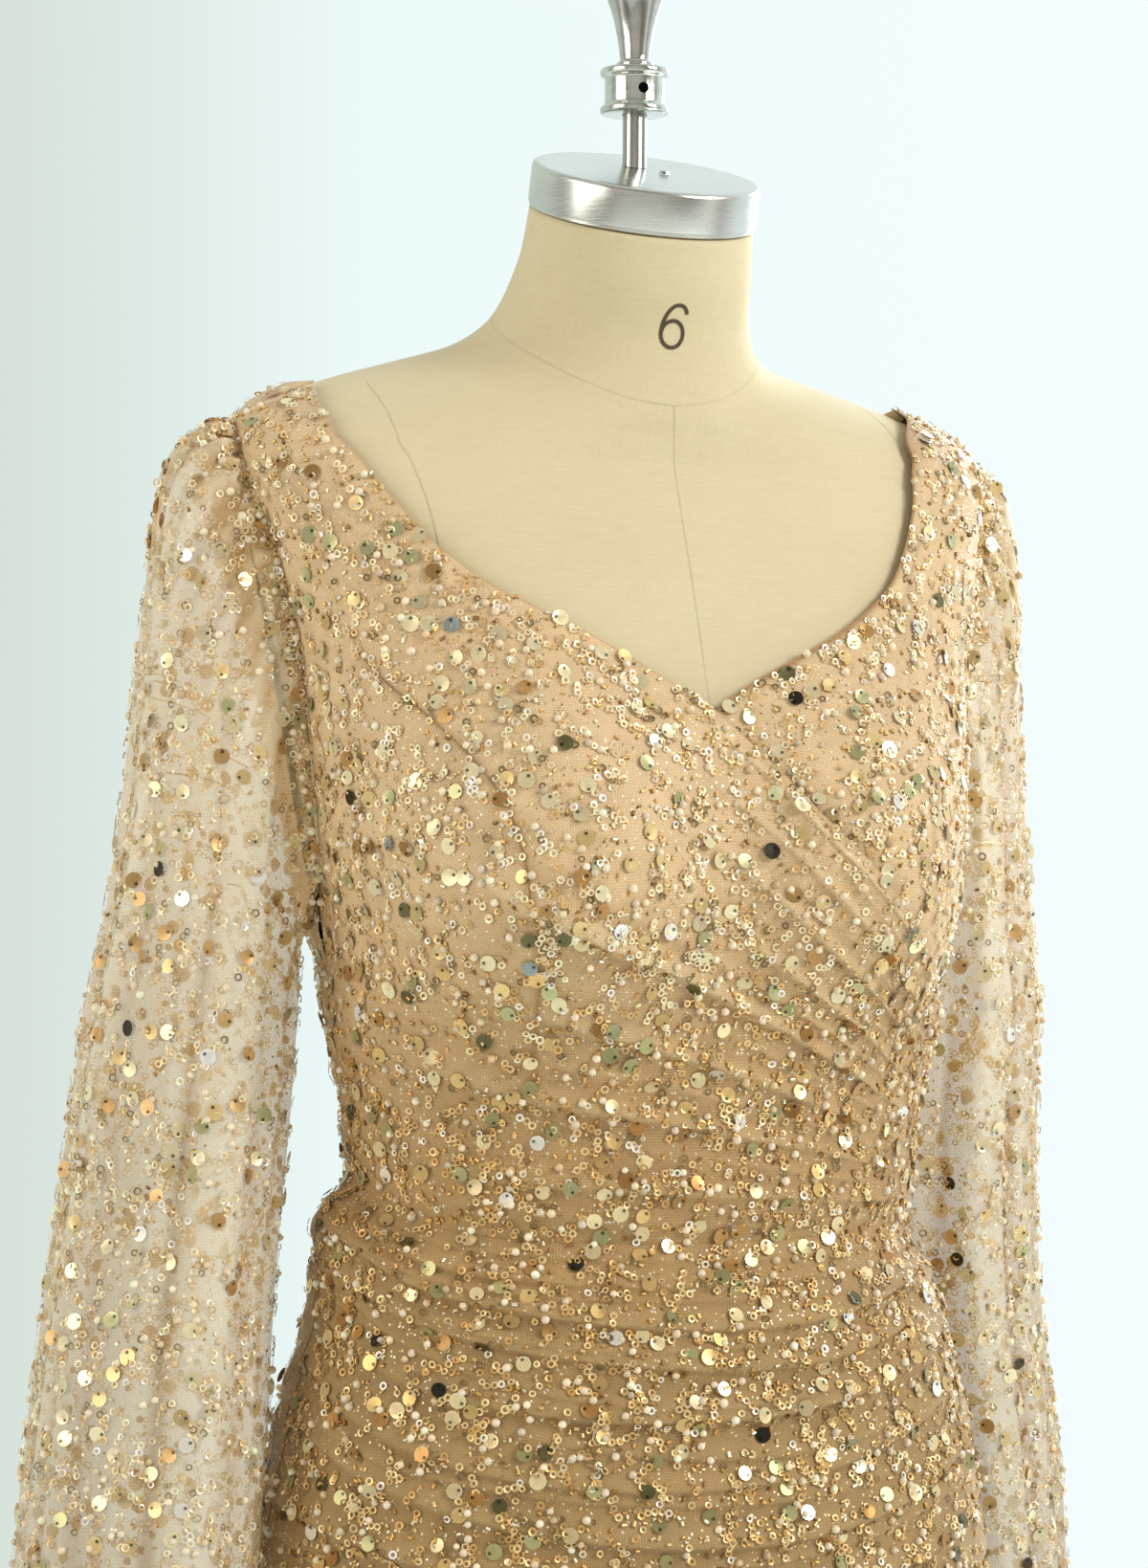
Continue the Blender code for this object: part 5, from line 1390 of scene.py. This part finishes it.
def neck_plane():
    """Middle and tilt of the form's flat neck top."""
    height, centre_y, _half_width, _front, _back, tilt, _squareness = FORM[-1]
    return Vector((0.0, centre_y, WAIST_Z + height + tilt * centre_y)), math.atan(tilt)


# ---- hardware, modelled with the usual mesh tools ---------------------------------------------
def only_none():
    """Leaves edit mode and deselects everything."""
    if bpy.context.object and bpy.context.object.mode != "OBJECT":
        bpy.ops.object.mode_set(mode="OBJECT")
    bpy.ops.object.select_all(action="DESELECT")


def only(piece):
    """Selects one piece and makes it the active one."""
    only_none()
    bpy.context.view_layer.objects.active = piece
    piece.select_set(True)


def spun(name, profile, foot, finish, steps, smooth=35.0):
    """A turned piece: a ring extruded and resized up its profile, then rounded."""
    only_none()
    hollow = profile[0][0] > ROD_RADIUS
    radius, height = profile[-1]
    bpy.ops.mesh.primitive_circle_add(vertices=steps, radius=radius, location=(0.0, 0.0, foot + height))
    made = bpy.context.object
    made.name = made.data.name = name
    bpy.ops.object.mode_set(mode="EDIT")
    bpy.ops.mesh.select_mode(type="EDGE")
    bpy.ops.mesh.select_all(action="SELECT")
    if not hollow:
        bpy.ops.mesh.edge_face_add()
        bpy.ops.mesh.select_all(action="SELECT")
        bpy.ops.mesh.region_to_loop()
    for wide, high in profile[-2::-1]:
        bpy.ops.mesh.extrude_region_move(TRANSFORM_OT_translate={"value": (0.0, 0.0, high - height)})
        if abs(wide - radius) > 1e-7:
            grow = wide / radius
            bpy.ops.transform.resize(value=(grow, grow, 1.0), center_override=(0.0, 0.0, foot + high))
        radius, height = wide, high
    if not hollow:
        bpy.ops.mesh.edge_face_add()
    bpy.ops.mesh.select_all(action="SELECT")
    bpy.ops.mesh.remove_doubles(threshold=0.00001)
    bpy.ops.mesh.normals_make_consistent(inside=False)
    bpy.ops.object.mode_set(mode="OBJECT")
    bpy.ops.object.transform_apply(location=True, rotation=True, scale=True)
    bpy.ops.object.shade_smooth_by_angle(angle=math.radians(smooth))
    made.data.materials.append(finish)
    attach(made, BODY)
    return made


def neck_cap():
    """The metal cap: a disc with a rolled upper edge and a small step under it."""
    radius, deep, roll = CAP_RADIUS, CAP_DEPTH, CAP_ROLL
    inner = radius - CAP_STEP
    profile = [(0.0012, deep), (radius * 0.5, deep + 0.0001), (radius - 0.0050, deep)]
    for turn in range(1, 6):
        angle = math.radians(turn * 18.0)
        profile.append((radius - roll + roll * math.sin(angle), deep - roll + roll * math.cos(angle)))
    profile += [(radius, 0.0040), (radius - 0.0001, 0.0026), (inner, 0.0022), (inner, 0.0008),
                (radius - 0.0016, 0.0001), (0.0012, 0.0001)]
    made = spun("neck_cap_metal", profile, 0.0, CAP_METAL, 96, 50.0)
    middle, angle = neck_plane()
    turn = Matrix.Rotation(angle, 4, "X")
    made.data.transform(Matrix.Translation(middle + turn @ Vector((0.0, 0.0, 0.0003))) @ turn)
    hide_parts("neck_cap")


def collar():
    """The locking collar: a flanged spool with the hole of its set screw, its bore painted near black as
    painted shade.
    """
    foot = WAIST_Z + COLLAR_LOW
    made = spun("collar_metal", COLLAR_PROFILE, foot, COLLAR_METAL, 64)
    only_none()
    bpy.ops.mesh.primitive_cylinder_add(vertices=32, radius=COLLAR_HOLE["radius"], depth=0.012)
    drill = bpy.context.object
    # The drill's finish, painted shade, goes to the faces of the bore.
    drill.data.materials.append(BORE_SHADE)
    heading, out = math.radians(COLLAR_HOLE["heading"]), COLLAR_HOLE["out"]
    place = Vector((math.sin(heading) * out, -math.cos(heading) * out, foot + COLLAR_HOLE["height"]))
    drill.data.transform(Matrix.Translation(place) @ Matrix.Rotation(heading, 4, "Z")
                         @ Matrix.Rotation(math.radians(90.0), 4, "X"))
    cut = made.modifiers.new("hole", "BOOLEAN")
    cut.operation, cut.object, cut.solver, cut.material_mode = "DIFFERENCE", drill, "EXACT", "TRANSFER"
    only(made)
    bpy.ops.object.modifier_apply(modifier="hole")
    bpy.data.objects.remove(drill, do_unlink=True)
    bpy.ops.object.shade_smooth_by_angle(angle=math.radians(35.0))
    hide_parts("rod_collar")


def finial():
    """The turned knob on the collar."""
    made = spun("finial_metal", FINIAL_PROFILE, WAIST_Z + COLLAR_HIGH + 0.0003, FINIAL_METAL, 64, 60.0)
    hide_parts("finial")


def numeral():
    """The printed size on the neck: a plain 6 drawn on the linen as one stroke."""
    arcs = []
    for across, up, wide, tall, first, last, steps in SIX:
        turn = np.radians(np.linspace(first, last, steps))
        arcs.append(np.stack([across + wide * np.cos(turn), up + tall * np.sin(turn)]))
    across, up = np.concatenate(arcs, axis=1)
    degrees, height = NUMERAL_WIDTH * (across - 0.5) - 0.5, NUMERAL_FOOT + NUMERAL_HEIGHT * up
    half_width, lift = NUMERAL_LINE
    sewn_lines("size_numeral", [on_form(degrees, height, lift)], half_width, NUMERAL)


# ---- the dress ----------------------------------------------------------------------------------
RNG = np.random.default_rng(20)

# Each sheet's points, the fields its cloth carries, and whether it is a tube.
SHEETS = {
    "bodice_front_over": (*front_sheet(-1, 130, 210, True), False),
    "bodice_front_under": (*front_sheet(1, 90, 90, False), False),
    "bodice_back_left": (*back_sheet(1, 44, 64), False),
    "bodice_back_right": (*back_sheet(-1, 44, 64), False),
    "skirt_front": (*skirt_sheet(-90.0, 90.0, 121, (216, 52, 40)), False),
    "skirt_back_left": (*skirt_sheet(90.0, 180.0, 51, (96, 30, 30)), False),
    "skirt_back_right": (*skirt_sheet(-180.0, -90.0, 51, (96, 30, 30)), False),
    "sleeve_right": (*sleeve_sheet(-1, SLEEVE_RIGHT), True),
    "sleeve_left": (*sleeve_sheet(1, SLEEVE_LEFT), True),
}


def sew_panel(name):
    """One panel with its open edge hemmed and the edge in a seam carried on inward."""
    grid, fields, tube = SHEETS[name]
    kind = name.split("_")[0]
    hem_on_top = kind == "bodice"
    grid, fields = past_edge(grid, fields, hem_on_top, rolled_hem, (HEM_DEPTH,))
    grid, fields = past_edge(grid, fields, not hem_on_top, allowance, ALLOWANCE[kind])
    finish, slot = (SLEEVE_CLOTH, "sheer_tulle") if kind == "sleeve" else (BEADED_CLOTH, "beaded_tulle")
    piece = sheet_object(name + "_cloth", grid, fields, finish, tube)
    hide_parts(name)


torso()
form_seams()
bust_darts()
panel_seams()
neck_cap()
collar()
finial()
numeral()
for name in SHEETS:
    sew_panel(name)


# ---- strewing the sequins, rings, pearls and beads ---------------------------------------------
def shades(*stops):
    """Linear tints with their shares."""
    shares = np.array([share for share, _colour in stops], dtype=float)
    return shares / shares.sum(), np.array([linear(*colour) for _share, colour in stops])


# The near-white tints of the sequins, rings and beads are painted glints; among the sequins the near-black
# ones are painted reflections of the dark room, and the amber ones partly painted shade.
SEQUIN_TINTS = shades(
    (40, (240, 226, 182)), (20, (224, 198, 138)), (18, (182, 180, 132)), (12, (186, 144, 86)),
    (4, (112, 108, 68)), (2, (52, 46, 34)), (4, (255, 252, 240)), (1, (160, 172, 172)))
SEQUIN_LOW_TINTS = shades(
    (34, (238, 218, 168)), (22, (214, 180, 116)), (15, (170, 164, 112)), (18, (180, 134, 74)),
    (5, (98, 90, 54)), (2, (42, 36, 26)), (4, (255, 250, 236)))
SEQUIN_SHEER_TINTS = shades(
    (44, (240, 226, 184)), (20, (226, 200, 142)), (16, (202, 164, 108)), (8, (194, 190, 140)),
    (1.5, (74, 62, 42)), (3, (255, 252, 240)))
RING_TINTS = shades((60, (250, 232, 190)), (24, (226, 188, 124)), (9, (124, 106, 66)), (7, (255, 252, 240)))
RING_LOW_TINTS = shades(
    (45, (238, 208, 148)), (35, (216, 172, 102)), (12, (128, 104, 60)), (8, (255, 248, 228)))
RING_SHEER_TINTS = shades(
    (50, (246, 226, 182)), (33, (222, 186, 126)), (11, (138, 114, 70)), (6, (255, 252, 240)))
PEARL_TINTS = shades((70, (246, 230, 200)), (20, (236, 216, 180)), (10, (220, 194, 150)))
BEAD_TINTS = shades((42, (236, 198, 126)), (30, (252, 226, 170)), (10, (172, 126, 68)), (18, (255, 246, 220)))
BEAD_LOW_TINTS = shades(
    (46, (226, 178, 100)), (24, (246, 212, 146)), (18, (160, 112, 54)), (12, (255, 244, 214)))

# The tints of the bodice, of the sheer sleeves, and from the midriff down.
UPPER = {"sequins": SEQUIN_TINTS, "rings": RING_TINTS, "pearls": PEARL_TINTS, "beads": BEAD_TINTS}
SHEER = {"sequins": SEQUIN_SHEER_TINTS, "rings": RING_SHEER_TINTS, "pearls": PEARL_TINTS, "beads": BEAD_TINTS}
LOWER = {"sequins": SEQUIN_LOW_TINTS, "rings": RING_LOW_TINTS, "pearls": PEARL_TINTS, "beads": BEAD_LOW_TINTS}

# The shapes where the beading is seen close, on the sleeves, and plainer ones elsewhere.
NEAR = {"sequins": disc_with_hole(12, 6, 0.56, 0.05), "rings": ring_shape(8, 0.53, 0.10),
        "pearls": pearl_shape(8, 3), "beads": bead_shape(5, 1.1)}
FINE = {**NEAR, "rings": ring_shape(8, 0.62, 0.10)}
FAR = {**NEAR, "rings": ring_shape(6, 0.50, 0.10), "pearls": pearl_shape(6, 2)}

# How each kind is stitched on: radius and its spread, lift off the cloth and how much it
# varies, lean, and finish.
STITCHES = {
    "sequins": (0.00366, 0.05, 0.0011, 0.0005, 0.15, SEQUIN_FOIL),
    "rings": (0.00178, 0.08, 0.0009, 0.0006, 0.15, RING_FOIL),
    "pearls": (0.00192, 0.08, 0.0008, 0.0, 0.10, PEARL),
    "beads": (0.00085, 0.15, 0.0007, 0.0, 0.15, BEAD_GLASS),
}
# Beading per square metre where it is full.
FULL = {"sequins": 2700.0, "rings": 26500.0, "pearls": 3900.0, "beads": 18000.0}
SEQUINS_SPARE = 1.3        # more are drawn, because those that lie too close are dropped
SEQUINS_APART = 0.0076
PEARLS_APART = 0.0034
SKIRT_TOP_END = 0.86       # height down to which the skirt front is beaded in full
BEADS_UNDER_EDGE = 0.012   # how far the lower front's beads go on under the upper one's edge
CHEST = {"half_width": 0.158, "depth": 0.115, "middle": 0.012}    # the oval that gives their angles
# Rings lie alone, or in short curved chains: share that starts one, step, bend, and the
# shares that are led on by one ring more.
CHAIN_STARTS = 0.52
CHAIN_STEP = 0.0033
CHAIN_BEND = 0.5
CHAIN_SHARES = (0.42, 0.28, 0.16, 0.06)


def pick(tints, count):
    """Tints drawn by their shares, each a little lighter or darker."""
    shares, colours = tints
    chosen = colours[RNG.choice(len(colours), size=count, p=shares)]
    return np.clip(chosen * (1.0 + RNG.normal(0.0, 0.13, (count, 1))), 0.0, 1.0)


def chained(surface, starts):
    """Rings on their starting places, and on from some of them in chains."""
    heading = RNG.random(len(starts)) * 2 * math.pi
    bend = RNG.normal(0.0, CHAIN_BEND, len(starts))
    chance = RNG.random(len(starts))
    chain, current = [starts], starts
    for share in CHAIN_SHARES:
        keep = chance < share
        current, heading, bend, chance = current[keep], heading[keep] + bend[keep], bend[keep], chance[keep]
        current = surface.moved(current, CHAIN_STEP * np.cos(heading), CHAIN_STEP * np.sin(heading))
        keep = surface.inside(current)
        current, heading, bend, chance = current[keep], heading[keep], bend[keep], chance[keep]
        chain.append(current)
    return np.concatenate(chain)


def strewn(surface, amount, bead_share, weight):
    """Where each kind lies on one area of the dress."""
    cover = float((surface.area * weight).sum())
    large = surface.scatter(int(cover * FULL["sequins"] * amount * SEQUINS_SPARE), weight)
    starts = surface.scatter(int(cover * FULL["rings"] * amount * CHAIN_STARTS), weight)
    rings = chained(surface, starts)
    pearls = surface.scatter(int(cover * FULL["pearls"] * amount), weight)
    beads = surface.scatter(int(cover * FULL["beads"] * amount * bead_share), weight)
    return {"sequins": spaced(surface, large, SEQUINS_APART), "rings": rings,
            "pearls": spaced(surface, pearls, PEARLS_APART), "beads": beads}


def stitch_area(name, surface, amount, bead_share, weight, tints, shapes):
    """Strews one area of the dress, each kind as one piece."""
    for kind, places in strewn(surface, amount, bead_share, weight).items():
        count = len(places)
        if count == 0:
            continue
        radius, spread, lift, varied, lean, finish = STITCHES[kind]
        sizes = radius * (1.0 + RNG.normal(0.0, spread, count))
        lifts = lift + (varied * RNG.random(count) if varied else np.zeros(count))
        stitched(f"{name}_{kind}", surface, places, shapes[kind], sizes, lifts, lean,
                 pick(tints[kind], count), finish)


def uncovered(surface):
    """A weight for the under front: 1 where the upper front leaves it showing."""
    x, y, z = np.moveaxis(surface.middle, -1, 0)
    edge = np.array(FRONT_EDGE)
    turned = np.degrees(np.arctan2(x / CHEST["half_width"], -(y - CHEST["middle"]) / CHEST["depth"]))
    return (z - WAIST_Z > np.interp(turned, edge[:, 1], edge[:, 2]) - BEADS_UNDER_EDGE).astype(float)


over, under, front = (Surface(name) for name in ("bodice_front_over", "bodice_front_under", "skirt_front"))
midriff = 1.0 - eased(0.07, 0.15, over.middle[..., 2] - WAIST_Z)
stitch_area("bodice", over, 1.0, 1.0, 1.0 - midriff, UPPER, NEAR)
stitch_area("midriff", over, 1.0, 1.0, midriff, LOWER, NEAR)
stitch_area("under", under, 1.0, 1.0, uncovered(under), UPPER, NEAR)
for word in ("right", "left"):
    sleeve, back, low = (Surface(name + word) for name in ("sleeve_", "bodice_back_", "skirt_back_"))
    toward_armhole = 1.0 + 8.0 * SHEETS["sleeve_" + word][1]["seam"][:-1]
    stitch_area("sleeve_" + word, sleeve, 0.88, 0.16, toward_armhole, SHEER, FINE)
    stitch_area("back_" + word, back, 0.75, 0.3, 1.0, UPPER, FAR)
    stitch_area("skirt_back_" + word, low, 0.37, 0.0, 1.0, LOWER, FAR)
hips = (front.middle[..., 2] > SKIRT_TOP_END).astype(float)
stitch_area("skirt_top", front, 1.0, 0.8, hips, LOWER, NEAR)
stitch_area("skirt_low", front, 0.39, 0.0, 1.0 - hips, LOWER, FAR)


# ---- finishes of the solids that stay ------------------------------------------------------------
FINISHES = {"cap_screw": ROD_METAL, "neck_rod": ROD_METAL, "stand_pole": ROD_METAL, "base_plate": ENAMEL,
            "zip_slider": GILT, "zip_pull": GILT}
for name, finish in FINISHES.items():
    solid = bpy.data.objects[name]
    solid.data.materials.clear()
    solid.data.materials.append(finish)


# ---- floor, light and camera -----------------------------------------------------------------------
def floor():
    """The plain pale floor, just under the base."""
    only_none()
    bpy.ops.mesh.primitive_plane_add(size=6.4, location=(0.0, 0.0, -0.0005))
    made = bpy.context.object
    made.name = "floor"
    bpy.ops.object.transform_apply(location=True, rotation=True, scale=True)
    made.data.materials.append(FLOOR)


def soft_light(name, place, aim, size, power, colour):
    """A square soft light at a place, turned to what it lights."""
    lamp = bpy.data.lights.new(name, "AREA")
    lamp.shape, lamp.size, lamp.energy, lamp.color = "SQUARE", size, power, colour
    made = bpy.data.objects.new(name, lamp)
    made.location = place
    made.rotation_euler = (Vector(aim) - Vector(place)).to_track_quat("-Z", "Y").to_euler()
    bpy.context.scene.collection.objects.link(made)


def pale_room():
    """A bright pale room behind the dress, darker on its left and behind the viewer."""
    world = bpy.data.worlds.new("pale room")
    bpy.context.scene.world = world
    world.use_nodes = True
    tree = world.node_tree
    sky = tree.nodes["Background"]
    sky.inputs["Strength"].default_value = 1.0
    parts = add(tree, "ShaderNodeSeparateXYZ")
    tree.links.new(add(tree, "ShaderNodeTexCoord").outputs["Generated"], parts.inputs[0])
    east, north = parts.outputs[0], parts.outputs[1]
    cosine, sine = 0.93, 0.37          # of the camera's turn
    across = maths(tree, "SUBTRACT", maths(tree, "MULTIPLY", east, cosine),
                   maths(tree, "MULTIPLY", north, sine))
    ahead = maths(tree, "ADD", maths(tree, "MULTIPLY", east, sine), maths(tree, "MULTIPLY", north, cosine))
    sideways = maths(tree, "ADD", maths(tree, "MULTIPLY", across, 0.5), 0.5)
    window = ramped(tree, sideways, (
        (0.43, linear(212, 222, 214)), (0.455, linear(224, 236, 231)), (0.475, linear(236, 250, 250)),
        (0.57, linear(244, 253, 255))))
    along = maths(tree, "ADD", maths(tree, "MULTIPLY", ahead, 0.5), 0.5)
    behind = ramped(tree, along, (
        (0.0, (0.56, 0.53, 0.48)), (0.05, (0.48, 0.45, 0.40)), (0.12, (0.22, 0.205, 0.18)),
        (0.24, (0.32, 0.31, 0.285)), (0.34, (0.95, 0.93, 0.87)), (0.48, (0.36, 0.35, 0.33))))
    room = ramped(tree, along, ((0.42, grey(0.0)), (0.70, grey(1.0))), smooth=True)
    tree.links.new(blend_colours(tree, "MIX", room, behind, window), sky.inputs["Color"])


# Each light's name, place, aim, size, power and colour.
LIGHTS = (
    ("key", (2.2, -2.6, 2.9), (0.0, 0.0, 1.25), 1.6, 94.0, (1.0, 0.98, 0.96)),
    ("rim", (2.4, 2.0, 2.3), (0.0, 0.0, 1.25), 1.2, 96.0, (0.80, 0.92, 1.0)),
    ("fill", (-3.0, -0.7, 2.0), (0.0, 0.0, 1.2), 2.0, 38.0, (1.0, 0.95, 0.88)),
)
# Angles in degrees, lens and sensor in millimetres, the rest in metres from the waist's middle.
CAMERA = {"turn": -21.637, "pitch": -0.846, "roll": 0.414, "height": 0.1724, "distance": 2.0835,
          "aside": -0.0266, "lens": 100.499085, "sensor": 36.0}


def camera():
    """The camera, aimed as CAMERA says."""
    turn, pitch, roll = (math.radians(CAMERA[k]) for k in ("turn", "pitch", "roll"))
    ahead = Vector((-math.sin(turn), math.cos(turn), 0.0))
    right = Vector((math.cos(turn), math.sin(turn), 0.0))
    level = Vector((0.0, 0.0, WAIST_Z + CAMERA["height"]))
    place = -ahead * CAMERA["distance"] + right * CAMERA["aside"] + level
    look = ahead * math.cos(pitch) - Vector((0.0, 0.0, math.sin(pitch)))
    up = ahead * math.sin(pitch) + Vector((0.0, 0.0, math.cos(pitch)))
    x = right * math.cos(roll) + up * math.sin(roll)
    y = up * math.cos(roll) - right * math.sin(roll)
    lens = bpy.data.cameras.new("camera")
    lens.sensor_fit, lens.lens = "VERTICAL", CAMERA["lens"]
    lens.sensor_height = lens.sensor_width = CAMERA["sensor"]
    lens.clip_start, lens.clip_end = 0.05, 50.0
    made = bpy.data.objects.new("camera", lens)
    made.matrix_world = Matrix((
        (x.x, y.x, -look.x, place.x), (x.y, y.y, -look.y, place.y), (x.z, y.z, -look.z, place.z),
        (0.0, 0.0, 0.0, 1.0)))
    bpy.context.scene.collection.objects.link(made)
    bpy.context.scene.camera = made


floor()
for light in LIGHTS:
    soft_light(*light)
pale_room()
camera()
bpy.context.scene.view_settings.view_transform = "Standard"
